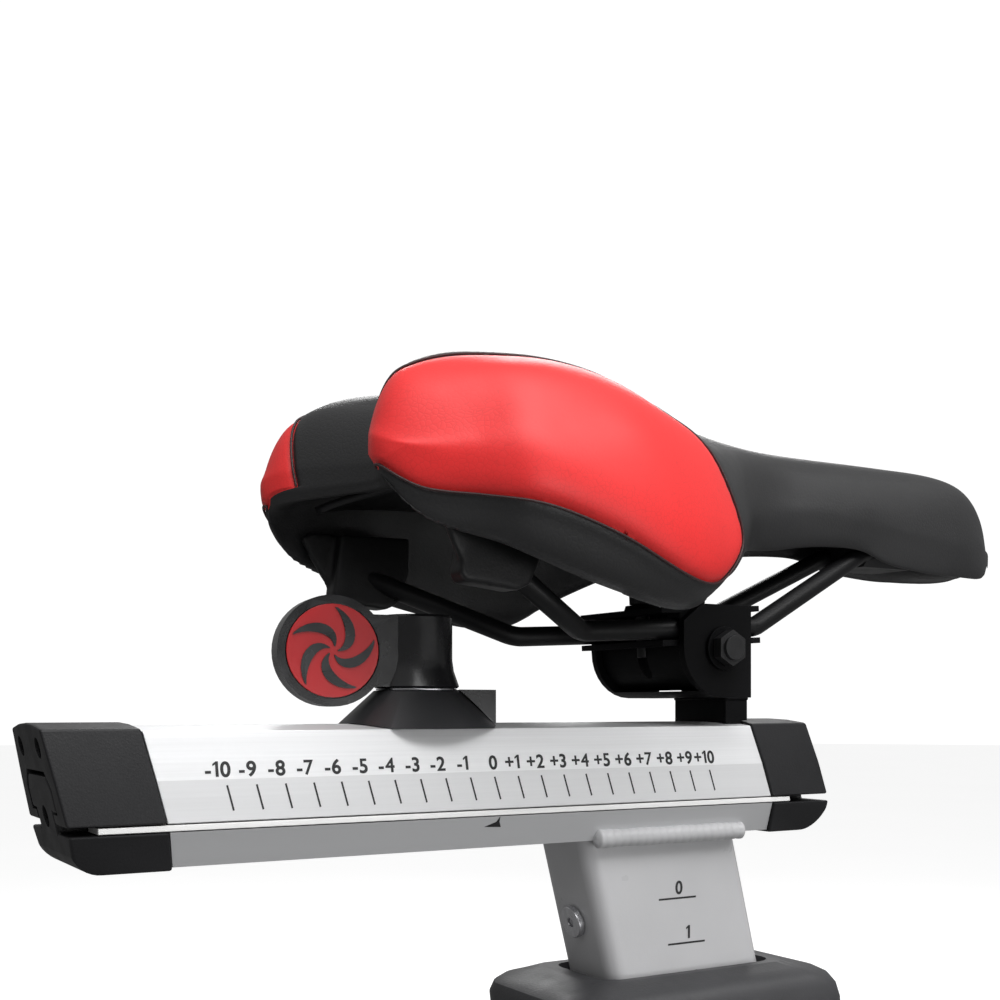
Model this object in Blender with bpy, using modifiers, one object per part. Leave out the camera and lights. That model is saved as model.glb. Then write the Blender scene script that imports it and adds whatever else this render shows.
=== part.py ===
"""Saddle unit of an indoor spin bike.

Saddle, rail clamp, fore-aft slider with its scale, height post and seat tube.

World frame: +X forward (saddle nose), +Y to the rider's left, +Z up, metres.
Z = 0 is the seat tube's cut end.
Most sizes are given in millimetres from the datum: the scale's zero mark in X, the mid plane in Y, and a
level plane just above the slider's crown in Z. at() turns them into world metres.
"""

import math

import bmesh
import bpy
from mathutils import Matrix, Vector

# ---------------------------------------------------------------- driving dimensions, millimetres
DATUM_X = -59.8                 # world X of the scale's zero mark
DATUM_Z = 340.0                 # world Z of the datum plane
GAP = 0.3                       # clearance between neighbouring pieces
TICK = 8.7                      # one division of the fore-aft scale
TRAVEL_TICKS = 10               # divisions each side of zero
SLANT = 0.23                    # slope of the slider's ends, X per Z
TUBE_SLANT = 0.253              # slope of the seat tube, X per Z
MID_X = 2.3                     # slider's middle, at the height of its fold
FOLD_Z = -20.2
CAP_JOINT = 109.2               # slider's middle to the joint of its end caps
CAP_END = 136.2                 # slider's middle to the end caps' faces
CAP_PROUD = 0.9                 # end caps stand proud of the extrusions

# half cross-sections, (Y, Z)
CROWN = ((0, -5.2), (9.5, -5.6), (18.6, -6.7))
FOLD = (21.5, FOLD_Z)
WIDEST = (23.1, -31.9)
LIP_Y = 11.0                    # half width of the slot between the slider's lips
LIP_TOP_Z = -29.0
WALL = 2.9
BASE_TOP = (23.1, -34.3)
BASE_LOW = (17.5, -44.5)
NECK_Y = 10.3
HEAD = (14.5, -28.4)
HEAD_TOP_Z = -19.0
STRIP_HALF = 123.0              # half length of the white glide strips

POST_TOP = (71.2, -42.7)        # post's axis, X and Z, where it meets the lower rail
POST_X, POST_Y, POST_R, POST_WALL = 65.0, 31.0, 6.0, 2.5
POST_LENGTH = 273.0
RIM_Z = -92.0                   # top of the collar shroud
SIDE_SCREW_DISTANCE = 24.0      # post's top point to the screw in its rear face

HUB_X = -16.6
HUB_R, HUB_FLARE_R = 11.6, 13.8
HUB_Z = (6.0, 29.3)
CONE_R = (13.7, 26.5)
CONE_Z = (-6.7, 5.2)
DISC_R, DISC_T = 17.3, 9.5
DISC_REACH = 29.2               # hub's axis to the paddle's centre
DISC_Z = 17.4
ARM_TURN = 169.6                # degrees from +X to the locked lever

BOLT_X, BOLT_Z = 88.0, 20.2     # tilt bolt
CHEEK_Y = 27.4
CHEEK_T = 2.8
CHEEK_X = (71.0, 101.0)
CHEEK_Z = (3.3, 35.4)
STEM_X = (100.4, 110.6)
STEM_Y = 14.5
RAIL_R = 3.5
RAIL_Y = 20.8
RAIL_TILT = math.radians(2.8)
BOLT_R = 3.0
PLATE_X, PLATE_Y = 21.8, 24.2   # half sizes of the clamp plates
PLATE_UP, PLATE_DOWN = 5.4, 3.9  # rails' line to the upper plate's and the rocker slab's near faces
SCREW_REACH, SCREW_R = 11.5, 2.5

MM = 0.001


def at(x, y, z):
    """World position, in metres, of a point given in millimetres from the datum."""
    return Vector(((DATUM_X + x) * MM, y * MM, (DATUM_Z + z) * MM))


# ---------------------------------------------------------------- scene, materials and shared helpers
for old in list(bpy.data.objects):
    bpy.data.objects.remove(old, do_unlink=True)

parts = bpy.data.collections.new("spin_bike_saddle_unit")
cutters = bpy.data.collections.new("cutters")
for new_collection in (parts, cutters):
    bpy.context.scene.collection.children.link(new_collection)


def material(name, color, roughness, metallic=0.0):
    made = bpy.data.materials.new(name)
    made.use_nodes = True
    shader = made.node_tree.nodes["Principled BSDF"]
    shader.inputs["Base Color"].default_value = (*color, 1.0)
    shader.inputs["Roughness"].default_value = roughness
    shader.inputs["Metallic"].default_value = metallic
    made.diffuse_color = (*color, 1.0)
    return made


PAINT = {
    "satin_white": material("satin_white", (0.84, 0.84, 0.86), 0.35, 0.1),
    "post_grey": material("post_grey", (0.62, 0.62, 0.64), 0.38, 0.4),
    "frame_grey": material("frame_grey", (0.10, 0.10, 0.11), 0.45),
    "black_plastic": material("black_plastic", (0.02, 0.02, 0.022), 0.5),
    "glide_white": material("glide_white", (0.9, 0.9, 0.9), 0.4),
    "black_steel": material("black_steel", (0.012, 0.012, 0.013), 0.4, 0.3),
    "zinc_steel": material("zinc_steel", (0.55, 0.55, 0.57), 0.3, 1.0),
    "badge_red": material("badge_red", (0.55, 0.02, 0.02), 0.4),
    "black_vinyl": material("black_vinyl", (0.03, 0.03, 0.032), 0.5),
}


def finish(obj, paint, bevel=0.0, segments=2):
    """Gives an object its material and, where wanted, rounded edges."""
    obj.data.materials.clear()
    obj.data.materials.append(PAINT[paint])
    if bevel:
        rounding = obj.modifiers.new("rounding", "BEVEL")
        rounding.width = bevel * MM
        rounding.segments = segments
        rounding.limit_method = "ANGLE"
        rounding.angle_limit = math.radians(35)
    return obj


def from_bmesh(name, mesh_builder, collection=parts):
    mesh = bpy.data.meshes.new(name)
    bmesh.ops.recalc_face_normals(mesh_builder, faces=mesh_builder.faces)
    mesh_builder.to_mesh(mesh)
    mesh_builder.free()
    obj = bpy.data.objects.new(name, mesh)
    collection.objects.link(obj)
    return obj


def set_origin(obj, point):
    """Moves an object's origin to a world point and leaves its shape where it is."""
    shift = point - obj.location
    obj.data.transform(Matrix.Translation(-shift))
    obj.location = point
    return obj


def mirrored(half):
    """A closed (Y, Z) outline from its right half, top down; points on the mid plane once."""
    other = [(-y, z) for y, z in reversed(half) if abs(y) > 1e-6]
    return list(half) + other


def prism(name, outline, x0, x1, slant=0.0, slant_z=FOLD_Z, collection=parts):
    """A (Y, Z) outline swept along X from x0 to x1, with ends that lean by slant about slant_z."""
    builder = bmesh.new()
    rings = []
    for x in (x0, x1):
        rings.append([builder.verts.new(at(x + (slant_z - z) * slant, y, z)) for y, z in outline])
    count = len(outline)
    for i in range(count):
        j = (i + 1) % count
        builder.faces.new((rings[0][i], rings[0][j], rings[1][j], rings[1][i]))
    builder.faces.new(rings[0])
    builder.faces.new(list(reversed(rings[1])))
    return from_bmesh(name, builder, collection)


def block(name, low, high, collection=parts):
    """A box between two corners."""
    builder = bmesh.new()
    bmesh.ops.create_cube(builder, size=1.0)
    a, b = at(*low), at(*high)
    bmesh.ops.scale(builder, vec=b - a, verts=builder.verts)
    bmesh.ops.translate(builder, vec=(a + b) / 2, verts=builder.verts)
    return from_bmesh(name, builder, collection)


def round_bar(name, start, end, radius, end_radius=None, sides=24, collection=parts):
    """A cylinder or cone between two points."""
    a, b = at(*start), at(*end)
    builder = bmesh.new()
    bmesh.ops.create_cone(
        builder, cap_ends=True, segments=sides, radius1=radius * MM,
        radius2=(radius if end_radius is None else end_radius) * MM, depth=(b - a).length,
    )
    turn = (b - a).to_track_quat("Z", "Y").to_matrix().to_4x4()
    bmesh.ops.transform(builder, matrix=Matrix.Translation((a + b) / 2) @ turn, verts=builder.verts)
    obj = from_bmesh(name, builder, collection)
    obj.data.shade_smooth()
    obj.data.set_sharp_from_angle(angle=math.radians(40))
    return obj


def turned(name, profile, centre, paint, sides=32, bevel=0.0):
    """A vertical turned solid from (radius, Z) points, top to bottom, closed on its axis."""
    builder = bmesh.new()
    points = [(0.0, profile[0][1])] + list(profile) + [(0.0, profile[-1][1])]
    line = [builder.verts.new(Vector((r * MM, 0, z * MM))) for r, z in points]
    for a, b in zip(line, line[1:]):
        builder.edges.new((a, b))
    mesh = bpy.data.meshes.new(name)
    builder.to_mesh(mesh)
    builder.free()
    obj = bpy.data.objects.new(name, mesh)
    parts.objects.link(obj)
    obj.location = at(*centre)
    spin = obj.modifiers.new("turn", "SCREW")
    spin.axis = "Z"
    spin.angle = math.tau
    spin.steps = spin.render_steps = sides
    spin.use_merge_vertices = True
    spin.merge_threshold = 0.00001
    spin.use_smooth_shade = True
    return finish(obj, paint, bevel)


def frozen(obj):
    """The object with its modifiers applied, so that it can be cut again or share its shape."""
    bpy.context.view_layer.update()
    shape = bpy.data.meshes.new_from_object(obj.evaluated_get(bpy.context.evaluated_depsgraph_get()))
    obj.modifiers.clear()
    obj.data = shape
    return obj


def combine(obj, tool, operation="DIFFERENCE"):
    """Cuts or joins another object into this one; the tool is kept out of sight among the cutters."""
    for home in list(tool.users_collection):
        home.objects.unlink(tool)
    cutters.objects.link(tool)
    tool.hide_render = True
    tool.display_type = "WIRE"
    step = obj.modifiers.new(operation.lower(), "BOOLEAN")
    step.object = tool
    step.operation = operation
    step.solver = "EXACT"
    return obj


def rounded_rectangle(half_x, half_y, radius, steps=4):
    """Corner points of a rounded rectangle, counter-clockwise."""
    points = []
    for turn, (sx, sy) in enumerate(((1, 1), (-1, 1), (-1, -1), (1, -1))):
        for i in range(steps + 1):
            angle = math.radians(90 * turn + 90 * i / steps)
            points.append((
                sx * (half_x - radius) + radius * math.cos(angle),
                sy * (half_y - radius) + radius * math.sin(angle),
            ))
    return points


def tube_prism(name, half_x, half_y, radius, low, high, collection=parts):
    """A rounded bar along the seat tube's axis; low and high are distances above the post's top point."""
    builder = bmesh.new()
    lean = Matrix.Rotation(-math.atan(TUBE_SLANT), 4, "Y")
    base = Matrix.Translation(at(POST_TOP[0], 0, POST_TOP[1])) @ lean
    rings = []
    for z in (low, high):
        rings.append([
            builder.verts.new(base @ Vector((x * MM, y * MM, z * MM)))
            for x, y in rounded_rectangle(half_x, half_y, radius)
        ])
    count = len(rings[0])
    for i in range(count):
        j = (i + 1) % count
        builder.faces.new((rings[0][i], rings[0][j], rings[1][j], rings[1][i]))
    builder.faces.new(list(reversed(rings[0])))
    builder.faces.new(rings[1])
    return from_bmesh(name, builder, collection)


def below(z):
    """A large box that removes everything below a height given from the datum."""
    return block("cut_below", (-400, -200, z - 400), (500, 200, z), cutters)


def above(z):
    return block("cut_above", (-400, -200, z), (500, 200, z + 200), cutters)


def along_tube(distance):
    """Datum X and Z of a point on the seat tube's axis, a distance below the post's top point."""
    lean = math.atan(TUBE_SLANT)
    return POST_TOP[0] + distance * math.sin(lean), POST_TOP[1] - distance * math.cos(lean)


def screw(name, start, direction, head_r, head_h, shank_r, length, paint, socket=0.0):
    """A screw whose head starts at a point and whose shank runs along a direction."""
    way = Vector(direction).normalized()
    top = Vector(start)
    under = top + way * head_h
    tip = under + way * length
    obj = round_bar(name, top, under, head_r, sides=16)
    shank = round_bar(name + "_shank", under - way * 0.5, tip, shank_r, sides=12)
    combine(obj, shank, "UNION")
    if socket:
        hole = round_bar(name + "_socket", top - way, top + way * head_h * 0.6, socket, sides=6)
        combine(obj, hole)
    return finish(obj, paint)


# ---------------------------------------------------------------- seat tube and collar (fixed)
TUBE_HALF_X, TUBE_HALF_Y, TUBE_R, TUBE_WALL = 44.0, 24.5, 9.0, 3.0
SLEEVE_LENGTH = 139.0           # collar rim to the sleeve's lower end
MOUTH_Z = RIM_Z - 9.0           # level top of the seat tube, under the collar
BASE_REACH = 332.0              # post's top point to below the tube's cut end
RIM_DISTANCE = (POST_TOP[1] - RIM_Z) / math.cos(math.atan(TUBE_SLANT))
LOCK_DISTANCE = RIM_DISTANCE + 82.0
BOSS_R, BOSS_LENGTH = 14.0, 14.0


def tube_axis_vector():
    """Unit vector across the seat tube, in its own plane, pointing rearward."""
    lean = math.atan(TUBE_SLANT)
    return Vector((-math.cos(lean), 0, -math.sin(lean)))


def lock_point(reach):
    """A point on the height lock's axis, a distance rearward of the tube's axis."""
    x, z = along_tube(LOCK_DISTANCE)
    way = tube_axis_vector()
    return (x + way.x * reach, 0, z + way.z * reach)


def seat_tube():
    body = tube_prism("seat_tube", TUBE_HALF_X, TUBE_HALF_Y, TUBE_R, -BASE_REACH, -RIM_DISTANCE + 20)
    combine(body, above(MOUTH_Z))
    combine(body, tube_prism(
        "tube_hollow", TUBE_HALF_X - TUBE_WALL, TUBE_HALF_Y - TUBE_WALL, TUBE_R - TUBE_WALL,
        -BASE_REACH - 30, 40, cutters,
    ))
    combine(body, below(-DATUM_Z))
    combine(body, round_bar("tube_lock_hole", lock_point(20), lock_point(70), 6.5, collection=cutters))
    return finish(body, "frame_grey")


def collar_shroud():
    """Moulded cover around the tube's mouth, with a crowned top and a slot for the post."""
    half_x, half_y, height, rearward = 61.5, 33.0, 46.0, 1.5
    builder = bmesh.new()
    rings = []
    levels = (
        (-height, -4.0), (-height * 0.5, -1.2), (-14, 0.0), (-8.6, -0.6), (-5.0, -3.0), (-2.9, -7.0),
        (-1.6, -13.0), (0.0, -19.5),
    )
    for drop, inset in levels:
        middle = along_tube(RIM_DISTANCE)[0] - drop * TUBE_SLANT - rearward
        z = RIM_Z + drop
        corner = 15.0 + inset * 0.45
        ring = rounded_rectangle(half_x + inset, half_y + inset * 0.62, corner, 7)
        rings.append([builder.verts.new(at(middle + x, y, z)) for x, y in ring])
    for low, high in zip(rings, rings[1:]):
        count = len(low)
        for i in range(count):
            j = (i + 1) % count
            builder.faces.new((low[i], low[j], high[j], high[i]))
    builder.faces.new(list(reversed(rings[0])))
    builder.faces.new(rings[-1])
    body = from_bmesh("collar_shroud", builder)
    combine(body, tube_prism("collar_slot", POST_X / 2 + 3.6, POST_Y / 2 + 2.0, POST_R + 1, -500, 100,
                             cutters))
    room = tube_prism(
        "collar_tube_room", TUBE_HALF_X + GAP, TUBE_HALF_Y + GAP, TUBE_R + GAP,
        -RIM_DISTANCE - 100, -RIM_DISTANCE + 20, cutters,
    )
    combine(body, frozen(combine(room, above(MOUTH_Z + GAP))))
    body.data.shade_smooth()
    return finish(body, "frame_grey")


def guide_sleeve():
    """Plastic sleeve that the post slides in, with a flange on the tube's mouth."""
    body = tube_prism("guide_sleeve", TUBE_HALF_X - TUBE_WALL - GAP, TUBE_HALF_Y - TUBE_WALL - GAP, 5.7,
                      -RIM_DISTANCE - SLEEVE_LENGTH, -RIM_DISTANCE + 20)
    combine(body, above(MOUTH_Z))
    combine(body, tube_prism("sleeve_bore", POST_X / 2 + 0.35, POST_Y / 2 + 0.35, POST_R + 0.35, -500, 100,
                             cutters))
    combine(body, round_bar("sleeve_lock_hole", lock_point(20), lock_point(60), 6.2, collection=cutters))
    return finish(body, "black_plastic")


def height_lock_boss():
    """Threaded boss welded to the tube's rear face."""
    body = round_bar("height_lock_boss", lock_point(TUBE_HALF_X + GAP),
                     lock_point(TUBE_HALF_X + BOSS_LENGTH), BOSS_R)
    combine(body, round_bar("boss_bore", lock_point(20), lock_point(90), 5.4, collection=cutters))
    return finish(body, "frame_grey", 1.0)


def height_lock():
    """Screw, lever and pad that press on the post's rear face."""
    screw_end = POST_X / 2 + 5.6
    hub_start = TUBE_HALF_X + BOSS_LENGTH + 1.0
    pad = round_bar("height_lock_pad", lock_point(POST_X / 2 + 0.8), lock_point(screw_end - 0.8), 5.6)
    finish(pad, "black_plastic", 0.4)
    stud = round_bar("height_lock_screw", lock_point(screw_end), lock_point(hub_start + 8), 5.0)
    finish(stud, "zinc_steel")
    hub = round_bar("height_lock_lever", lock_point(hub_start), lock_point(hub_start + 20), 12.0, 10.5)
    reach = 30.0
    way = tube_axis_vector()
    down = Vector((-way.z, 0, way.x))
    start = Vector(lock_point(hub_start + 10))
    arm = round_bar("height_arm", start, start + down * reach, 6.0, sides=16)
    centre = start + down * (reach + 6)
    paddle = round_bar("height_paddle", centre - way * 4.8, centre + way * 4.8, DISC_R, sides=32)
    for piece in (arm, paddle):
        combine(hub, piece, "UNION")
    combine(hub, round_bar("height_hub_bore", lock_point(hub_start - 5), lock_point(hub_start + 8 + GAP),
                           5.3,
                           collection=cutters))
    combine(hub, round_bar("height_badge_seat", centre + way * 3.9, centre + way * 8, 14.6,
                           collection=cutters))
    finish(hub, "black_plastic")
    badge = round_bar("height_lock_badge", centre + way * (3.9 + GAP), centre + way * 4.9, 14.2, sides=32)
    finish(badge, "badge_red")
    return pad, stud, hub, badge


# ---------------------------------------------------------------- height post with the lower rail
def seat_post():
    body = tube_prism("seat_post", POST_X / 2, POST_Y / 2, POST_R, -POST_LENGTH, 30)
    combine(body, tube_prism("post_hollow", POST_X / 2 - POST_WALL, POST_Y / 2 - POST_WALL,
                             POST_R - POST_WALL,
                             -POST_LENGTH - 20, 50, cutters))
    combine(body, above(BASE_LOW[1] - GAP))
    x, z = along_tube(SIDE_SCREW_DISTANCE)
    combine(body, round_bar("post_screw_hole", (x - 60, 0, z - 60 * TUBE_SLANT),
                            (x - 15, 0, z - 15 * TUBE_SLANT), 3.3, collection=cutters))
    return finish(body, "post_grey")


def post_end_plug():
    body = tube_prism("post_end_plug", POST_X / 2 - 0.5, POST_Y / 2 - 0.5, POST_R - 0.5,
                      -POST_LENGTH - 3.3, -POST_LENGTH - GAP)
    combine(body, tube_prism("plug_insert", POST_X / 2 - POST_WALL - GAP, POST_Y / 2 - POST_WALL - GAP, 3.0,
                             -POST_LENGTH - 2, -POST_LENGTH + 12, cutters), "UNION")
    return finish(body, "black_plastic")


def post_side_screw():
    """Button-head screw in the post's rear face."""
    x, z = along_tube(SIDE_SCREW_DISTANCE)
    way = -tube_axis_vector()
    rear = Vector((x, 0, z)) - way * (POST_X / 2 + 2.6)
    return screw("post_side_screw", rear, way, 5.6, 2.2, 3.0, 9.0, "zinc_steel", 1.8)


def weld_bead(name, side):
    """Fillet weld between the post's wide face and the lower rail."""
    inner = POST_Y / 2 + GAP
    outline = [
        (inner, -47.6), (inner, -44.9), (17.8, -44.9), (20.5, -40.3), (21.6, -40.0), (22.1, -41.8),
        (21.0, -44.8),
        (18.2, -47.3),
    ]
    outline = [(side * y, z) for y, z in outline]
    middle = POST_TOP[0]
    body = prism(name, outline, middle - 32.5, middle + 34.0, TUBE_SLANT, POST_TOP[1])
    return finish(body, "satin_white", 0.7)


def lower_rail():
    """Fixed extrusion: a keel with sloping sides, a neck, and a head that the slider's lips hook under."""
    half = [(0, HEAD_TOP_Z), (HEAD[0] - 3, HEAD_TOP_Z), (HEAD[0], HEAD_TOP_Z - 3), HEAD, (NECK_Y, HEAD[1]),
            (NECK_Y, BASE_TOP[1]), BASE_TOP, BASE_LOW, (0, BASE_LOW[1])]
    body = prism("lower_rail", mirrored(half), MID_X - CAP_JOINT, MID_X + CAP_JOINT, SLANT)
    bore = [(0, -36.2), (13.0, -36.2), (11.0, -42.4), (0, -42.4)]
    combine(body, prism("rail_bore", mirrored(bore), -200, 200, 0, FOLD_Z, cutters))
    core = [(0, -21.3), (8.0, -21.3), (8.0, -32.6), (0, -32.6)]
    combine(body, prism("rail_core", mirrored(core), -200, 200, 0, FOLD_Z, cutters))
    return finish(body, "post_grey")


def glide_strip(name, side):
    """Thin nylon strip between the slider and the lower rail."""
    outline = [(side * 12.0, -32.3), (side * 23.35, -32.3), (side * 23.35, -33.95), (side * 12.0, -33.95)]
    return finish(prism(name, outline, -STRIP_HALF, STRIP_HALF), "glide_white")


def lower_cap(name, side):
    """End cap of the lower rail, with a tongue that closes the head and a large lower corner radius."""
    proud = CAP_PROUD
    half = [(0, HEAD_TOP_Z + 0.4), (HEAD[0] - 3.2, HEAD_TOP_Z + 0.4), (HEAD[0] + 0.4, HEAD_TOP_Z - 3.4),
            (HEAD[0] + 0.4, HEAD[1] - 0.1), (NECK_Y, HEAD[1] - 0.1), (NECK_Y, BASE_TOP[1]),
            (BASE_TOP[0] + proud, BASE_TOP[1]), (BASE_LOW[0] + proud, BASE_LOW[1] - proud),
            (0, BASE_LOW[1] - proud)]
    inner, outer = (CAP_JOINT + GAP) * side, CAP_END * side
    body = prism(name, mirrored(half), MID_X + min(inner, outer), MID_X + max(inner, outer), SLANT)
    finish(body, "black_plastic", 0.8)
    radius = 10.0
    low_z = BASE_LOW[1] - proud
    centre_x = MID_X + outer + (FOLD_Z - (low_z + radius)) * SLANT - side * radius
    corner = block(name + "_corner", (min(centre_x, centre_x + side * 30), -40, low_z - 8),
                   (max(centre_x, centre_x + side * 30), 40, low_z + radius), cutters)
    combine(corner, round_bar(name + "_round", (centre_x, -45, low_z + radius),
                              (centre_x, 45, low_z + radius),
                              radius, sides=40, collection=cutters))
    corner = frozen(corner)
    combine(body, corner)
    hole_z = -30.2
    face_x = MID_X + outer + (FOLD_Z - hole_z) * SLANT
    combine(body, round_bar(name + "_hole", (face_x - side * 6, 0, hole_z), (face_x + side * 8, 0, hole_z),
                            3.1,
                            collection=cutters))
    combine(body, round_bar(name + "_bore", (face_x - side * 40, 0, hole_z), (face_x, 0, hole_z), 1.9,
                            sides=12,
                            collection=cutters))
    return body


def lower_cap_screw(name, side):
    hole_z = -30.2
    face_x = MID_X + side * CAP_END + (FOLD_Z - hole_z) * SLANT
    return screw(name, (face_x - side * 3.2, 0, hole_z), (-side, 0, 0), 2.7, 2.4, 1.6, 20.0, "zinc_steel",
                 1.2)


# ---------------------------------------------------------------- carriage
def slider_half(proud=0.0):
    """Right half of the slider's outer section, from the crown down to the lip."""
    crown = [(y if y == 0 else y + proud * 0.5, z + proud) for y, z in CROWN]
    return crown + [(FOLD[0] + proud, FOLD[1]), (WIDEST[0] + proud, WIDEST[1])]


def slot_half(room=0.0):
    """Right half of the T-shaped room inside the slider, from the lips' gap up to the ceiling."""
    return [(0, CROWN[0][1] - WALL - 0.3), (15.6, -10.0), (18.3, -20.4), (19.4, LIP_TOP_Z),
            (LIP_Y, LIP_TOP_Z),
            (LIP_Y, -60), (0, -60)]


def upper_slider():
    """Sliding extrusion with the scale: crowned top, two facets each side and inward lips."""
    outline = mirrored(slider_half() + [(0, WIDEST[1])])
    body = prism("upper_slider", outline, MID_X - CAP_JOINT, MID_X + CAP_JOINT, SLANT)
    combine(body, prism("slider_room", mirrored(slot_half()), -300, 300, 0, FOLD_Z, cutters))
    combine(body, round_bar("slider_screw_hole", (HUB_X, 0, -20), (HUB_X, 0, 10), 5.6, collection=cutters))
    return finish(body, "satin_white")


def upper_cap(name, side):
    """Slider's end cap: two screw holes above an arched notch that the lower rail's head runs through."""
    outline = mirrored(slider_half(CAP_PROUD) + [(0, WIDEST[1])])
    inner, outer = (CAP_JOINT + GAP) * side, CAP_END * side
    body = prism(name, outline, MID_X + min(inner, outer), MID_X + max(inner, outer), SLANT)
    finish(body, "black_plastic", 0.8)
    notch = [(0, HEAD_TOP_Z + 1.6), (HEAD[0] - 3.0, HEAD_TOP_Z + 1.6), (HEAD[0] + 1.6, HEAD_TOP_Z - 3.0),
             (HEAD[0] + 1.6, LIP_TOP_Z), (LIP_Y, LIP_TOP_Z), (LIP_Y, -60), (0, -60)]
    combine(body, prism(name + "_notch", mirrored(notch), -300, 300, 0, FOLD_Z, cutters))
    hole_z = -11.0
    face_x = MID_X + outer + (FOLD_Z - hole_z) * SLANT
    for way in (-1, 1):
        y = way * 11.3
        combine(body, round_bar(name + "_hole", (face_x - side * 6, y, hole_z),
                                (face_x + side * 8, y, hole_z), 2.9,
                                sides=20, collection=cutters))
        combine(body, round_bar(name + "_bore", (face_x - side * 40, y, hole_z), (face_x, y, hole_z), 1.8,
                                sides=12,
                                collection=cutters))
    return body


def upper_cap_screw(name, side, way):
    hole_z = -11.0
    face_x = MID_X + side * CAP_END + (FOLD_Z - hole_z) * SLANT
    return screw(name, (face_x - side * 3.2, way * 11.3, hole_z), (-side, 0, 0), 2.5, 2.4, 1.5, 16.0,
                 "zinc_steel", 1.1)


def crown_room(name):
    """Cutter that leaves a gap above the slider's crown."""
    half = [(0, CROWN[0][1] + GAP), (9.5, CROWN[1][1] + GAP), (18.9, CROWN[2][1] + GAP), (23.5, -25),
            (23.5, -60),
            (0, -60)]
    return prism(name, mirrored(half), -300, 300, 0, FOLD_Z, cutters)


def lever_cone():
    """Conical seat of the fore-aft lever, over the slider's crown."""
    low, high = CONE_Z
    body = round_bar("lever_cone", (HUB_X, 0, low), (HUB_X, 0, high), CONE_R[1], CONE_R[0], sides=48)
    combine(body, crown_room("cone_room"))
    combine(body, round_bar("cone_bore", (HUB_X, 0, low - 5), (HUB_X, 0, high + 5), 5.6,
                            collection=cutters))
    return finish(body, "black_plastic")


def lever_stop_block():
    body = block("lever_stop_block", (HUB_X + 2, -10, -8), (HUB_X + 24, 10, CONE_Z[1] + 0.4))
    combine(body, crown_room("stop_room"))
    combine(body, round_bar("stop_cone_room", (HUB_X, 0, CONE_Z[0] - 0.4), (HUB_X, 0, CONE_Z[1] + 0.6),
                            CONE_R[1] + 0.5, CONE_R[0] + 0.3, sides=48, collection=cutters))
    return finish(body, "black_plastic")


def stem_bar():
    """Upright bar between the slider's front end and the clamp bracket."""
    body = block("stem_bar", (STEM_X[0], -STEM_Y, -9), (STEM_X[1], STEM_Y, CHEEK_Z[0] - GAP))
    finish(body, "black_steel")
    combine(body, crown_room("stem_room"))
    cap_outline = mirrored(slider_half(CAP_PROUD + GAP) + [(0, WIDEST[1])])
    combine(body, prism("stem_cap_room", cap_outline, MID_X + CAP_JOINT - GAP, 300, SLANT,
                        collection=cutters))
    return body


def cheek_outline(grow=0.0):
    """(X, Z) outline of the clamp bracket's cheeks, with its lower rear corner round the tilt bolt."""
    x0, x1 = CHEEK_X[0] - grow, CHEEK_X[1] + grow
    z0, z1 = CHEEK_Z[0] - grow, CHEEK_Z[1] + grow
    radius = BOLT_X - CHEEK_X[0] + grow
    points = [(x1, z0), (x1, z1 - 1.5), (x1 - 1.5, z1), (x0 + 8, z1), (x0, z1 - 6)]
    for i in range(9):
        angle = math.radians(180 + 90 * i / 8)
        points.append((x0 + radius + radius * math.cos(angle), z0 + radius + radius * math.sin(angle)))
    return points


def side_plate(name, outline, y0, y1, collection=parts):
    """An (X, Z) outline swept along Y."""
    builder = bmesh.new()
    rings = [[builder.verts.new(at(x, y, z)) for x, z in outline] for y in (y0, y1)]
    count = len(outline)
    for i in range(count):
        j = (i + 1) % count
        builder.faces.new((rings[0][i], rings[0][j], rings[1][j], rings[1][i]))
    builder.faces.new(rings[0])
    builder.faces.new(list(reversed(rings[1])))
    return from_bmesh(name, builder, collection)


def clamp_bracket():
    """U-shaped bracket welded on the stem; the saddle clamp's rocker turns between its cheeks."""
    body = side_plate("clamp_bracket", cheek_outline(), -CHEEK_Y, CHEEK_Y)
    inner = CHEEK_Y - CHEEK_T
    web_top = CHEEK_Z[0] + 2.2
    combine(body, block("bracket_room", (40, -inner, web_top), (140, inner, 80), cutters))
    wall_low = (CHEEK_X[1] + 2.4, -STEM_Y, web_top - 1)
    wall = block("bracket_wall", wall_low, (STEM_X[1], STEM_Y, 17.5), cutters)
    combine(wall, block("bracket_web", (CHEEK_X[1] - 6, -STEM_Y, CHEEK_Z[0]), (STEM_X[1], STEM_Y, web_top),
                        cutters),
            "UNION")
    combine(body, frozen(wall), "UNION")
    combine(body, round_bar("bracket_bolt_hole", (BOLT_X, -40, BOLT_Z), (BOLT_X, 40, BOLT_Z), BOLT_R + 0.3,
                            collection=cutters))
    return finish(body, "black_steel")


# ---------------------------------------------------------------- fore-aft lever
def lever_frame():
    """Unit vectors along the lever's arm and out of its face, level."""
    turn = math.radians(ARM_TURN)
    along = Vector((math.cos(turn), math.sin(turn), 0))
    return along, Vector((-along.y, along.x, 0))


def lever_point(reach, out, z):
    along, normal = lever_frame()
    spot = along * reach + normal * out
    return (HUB_X + spot.x, spot.y, z)


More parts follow.
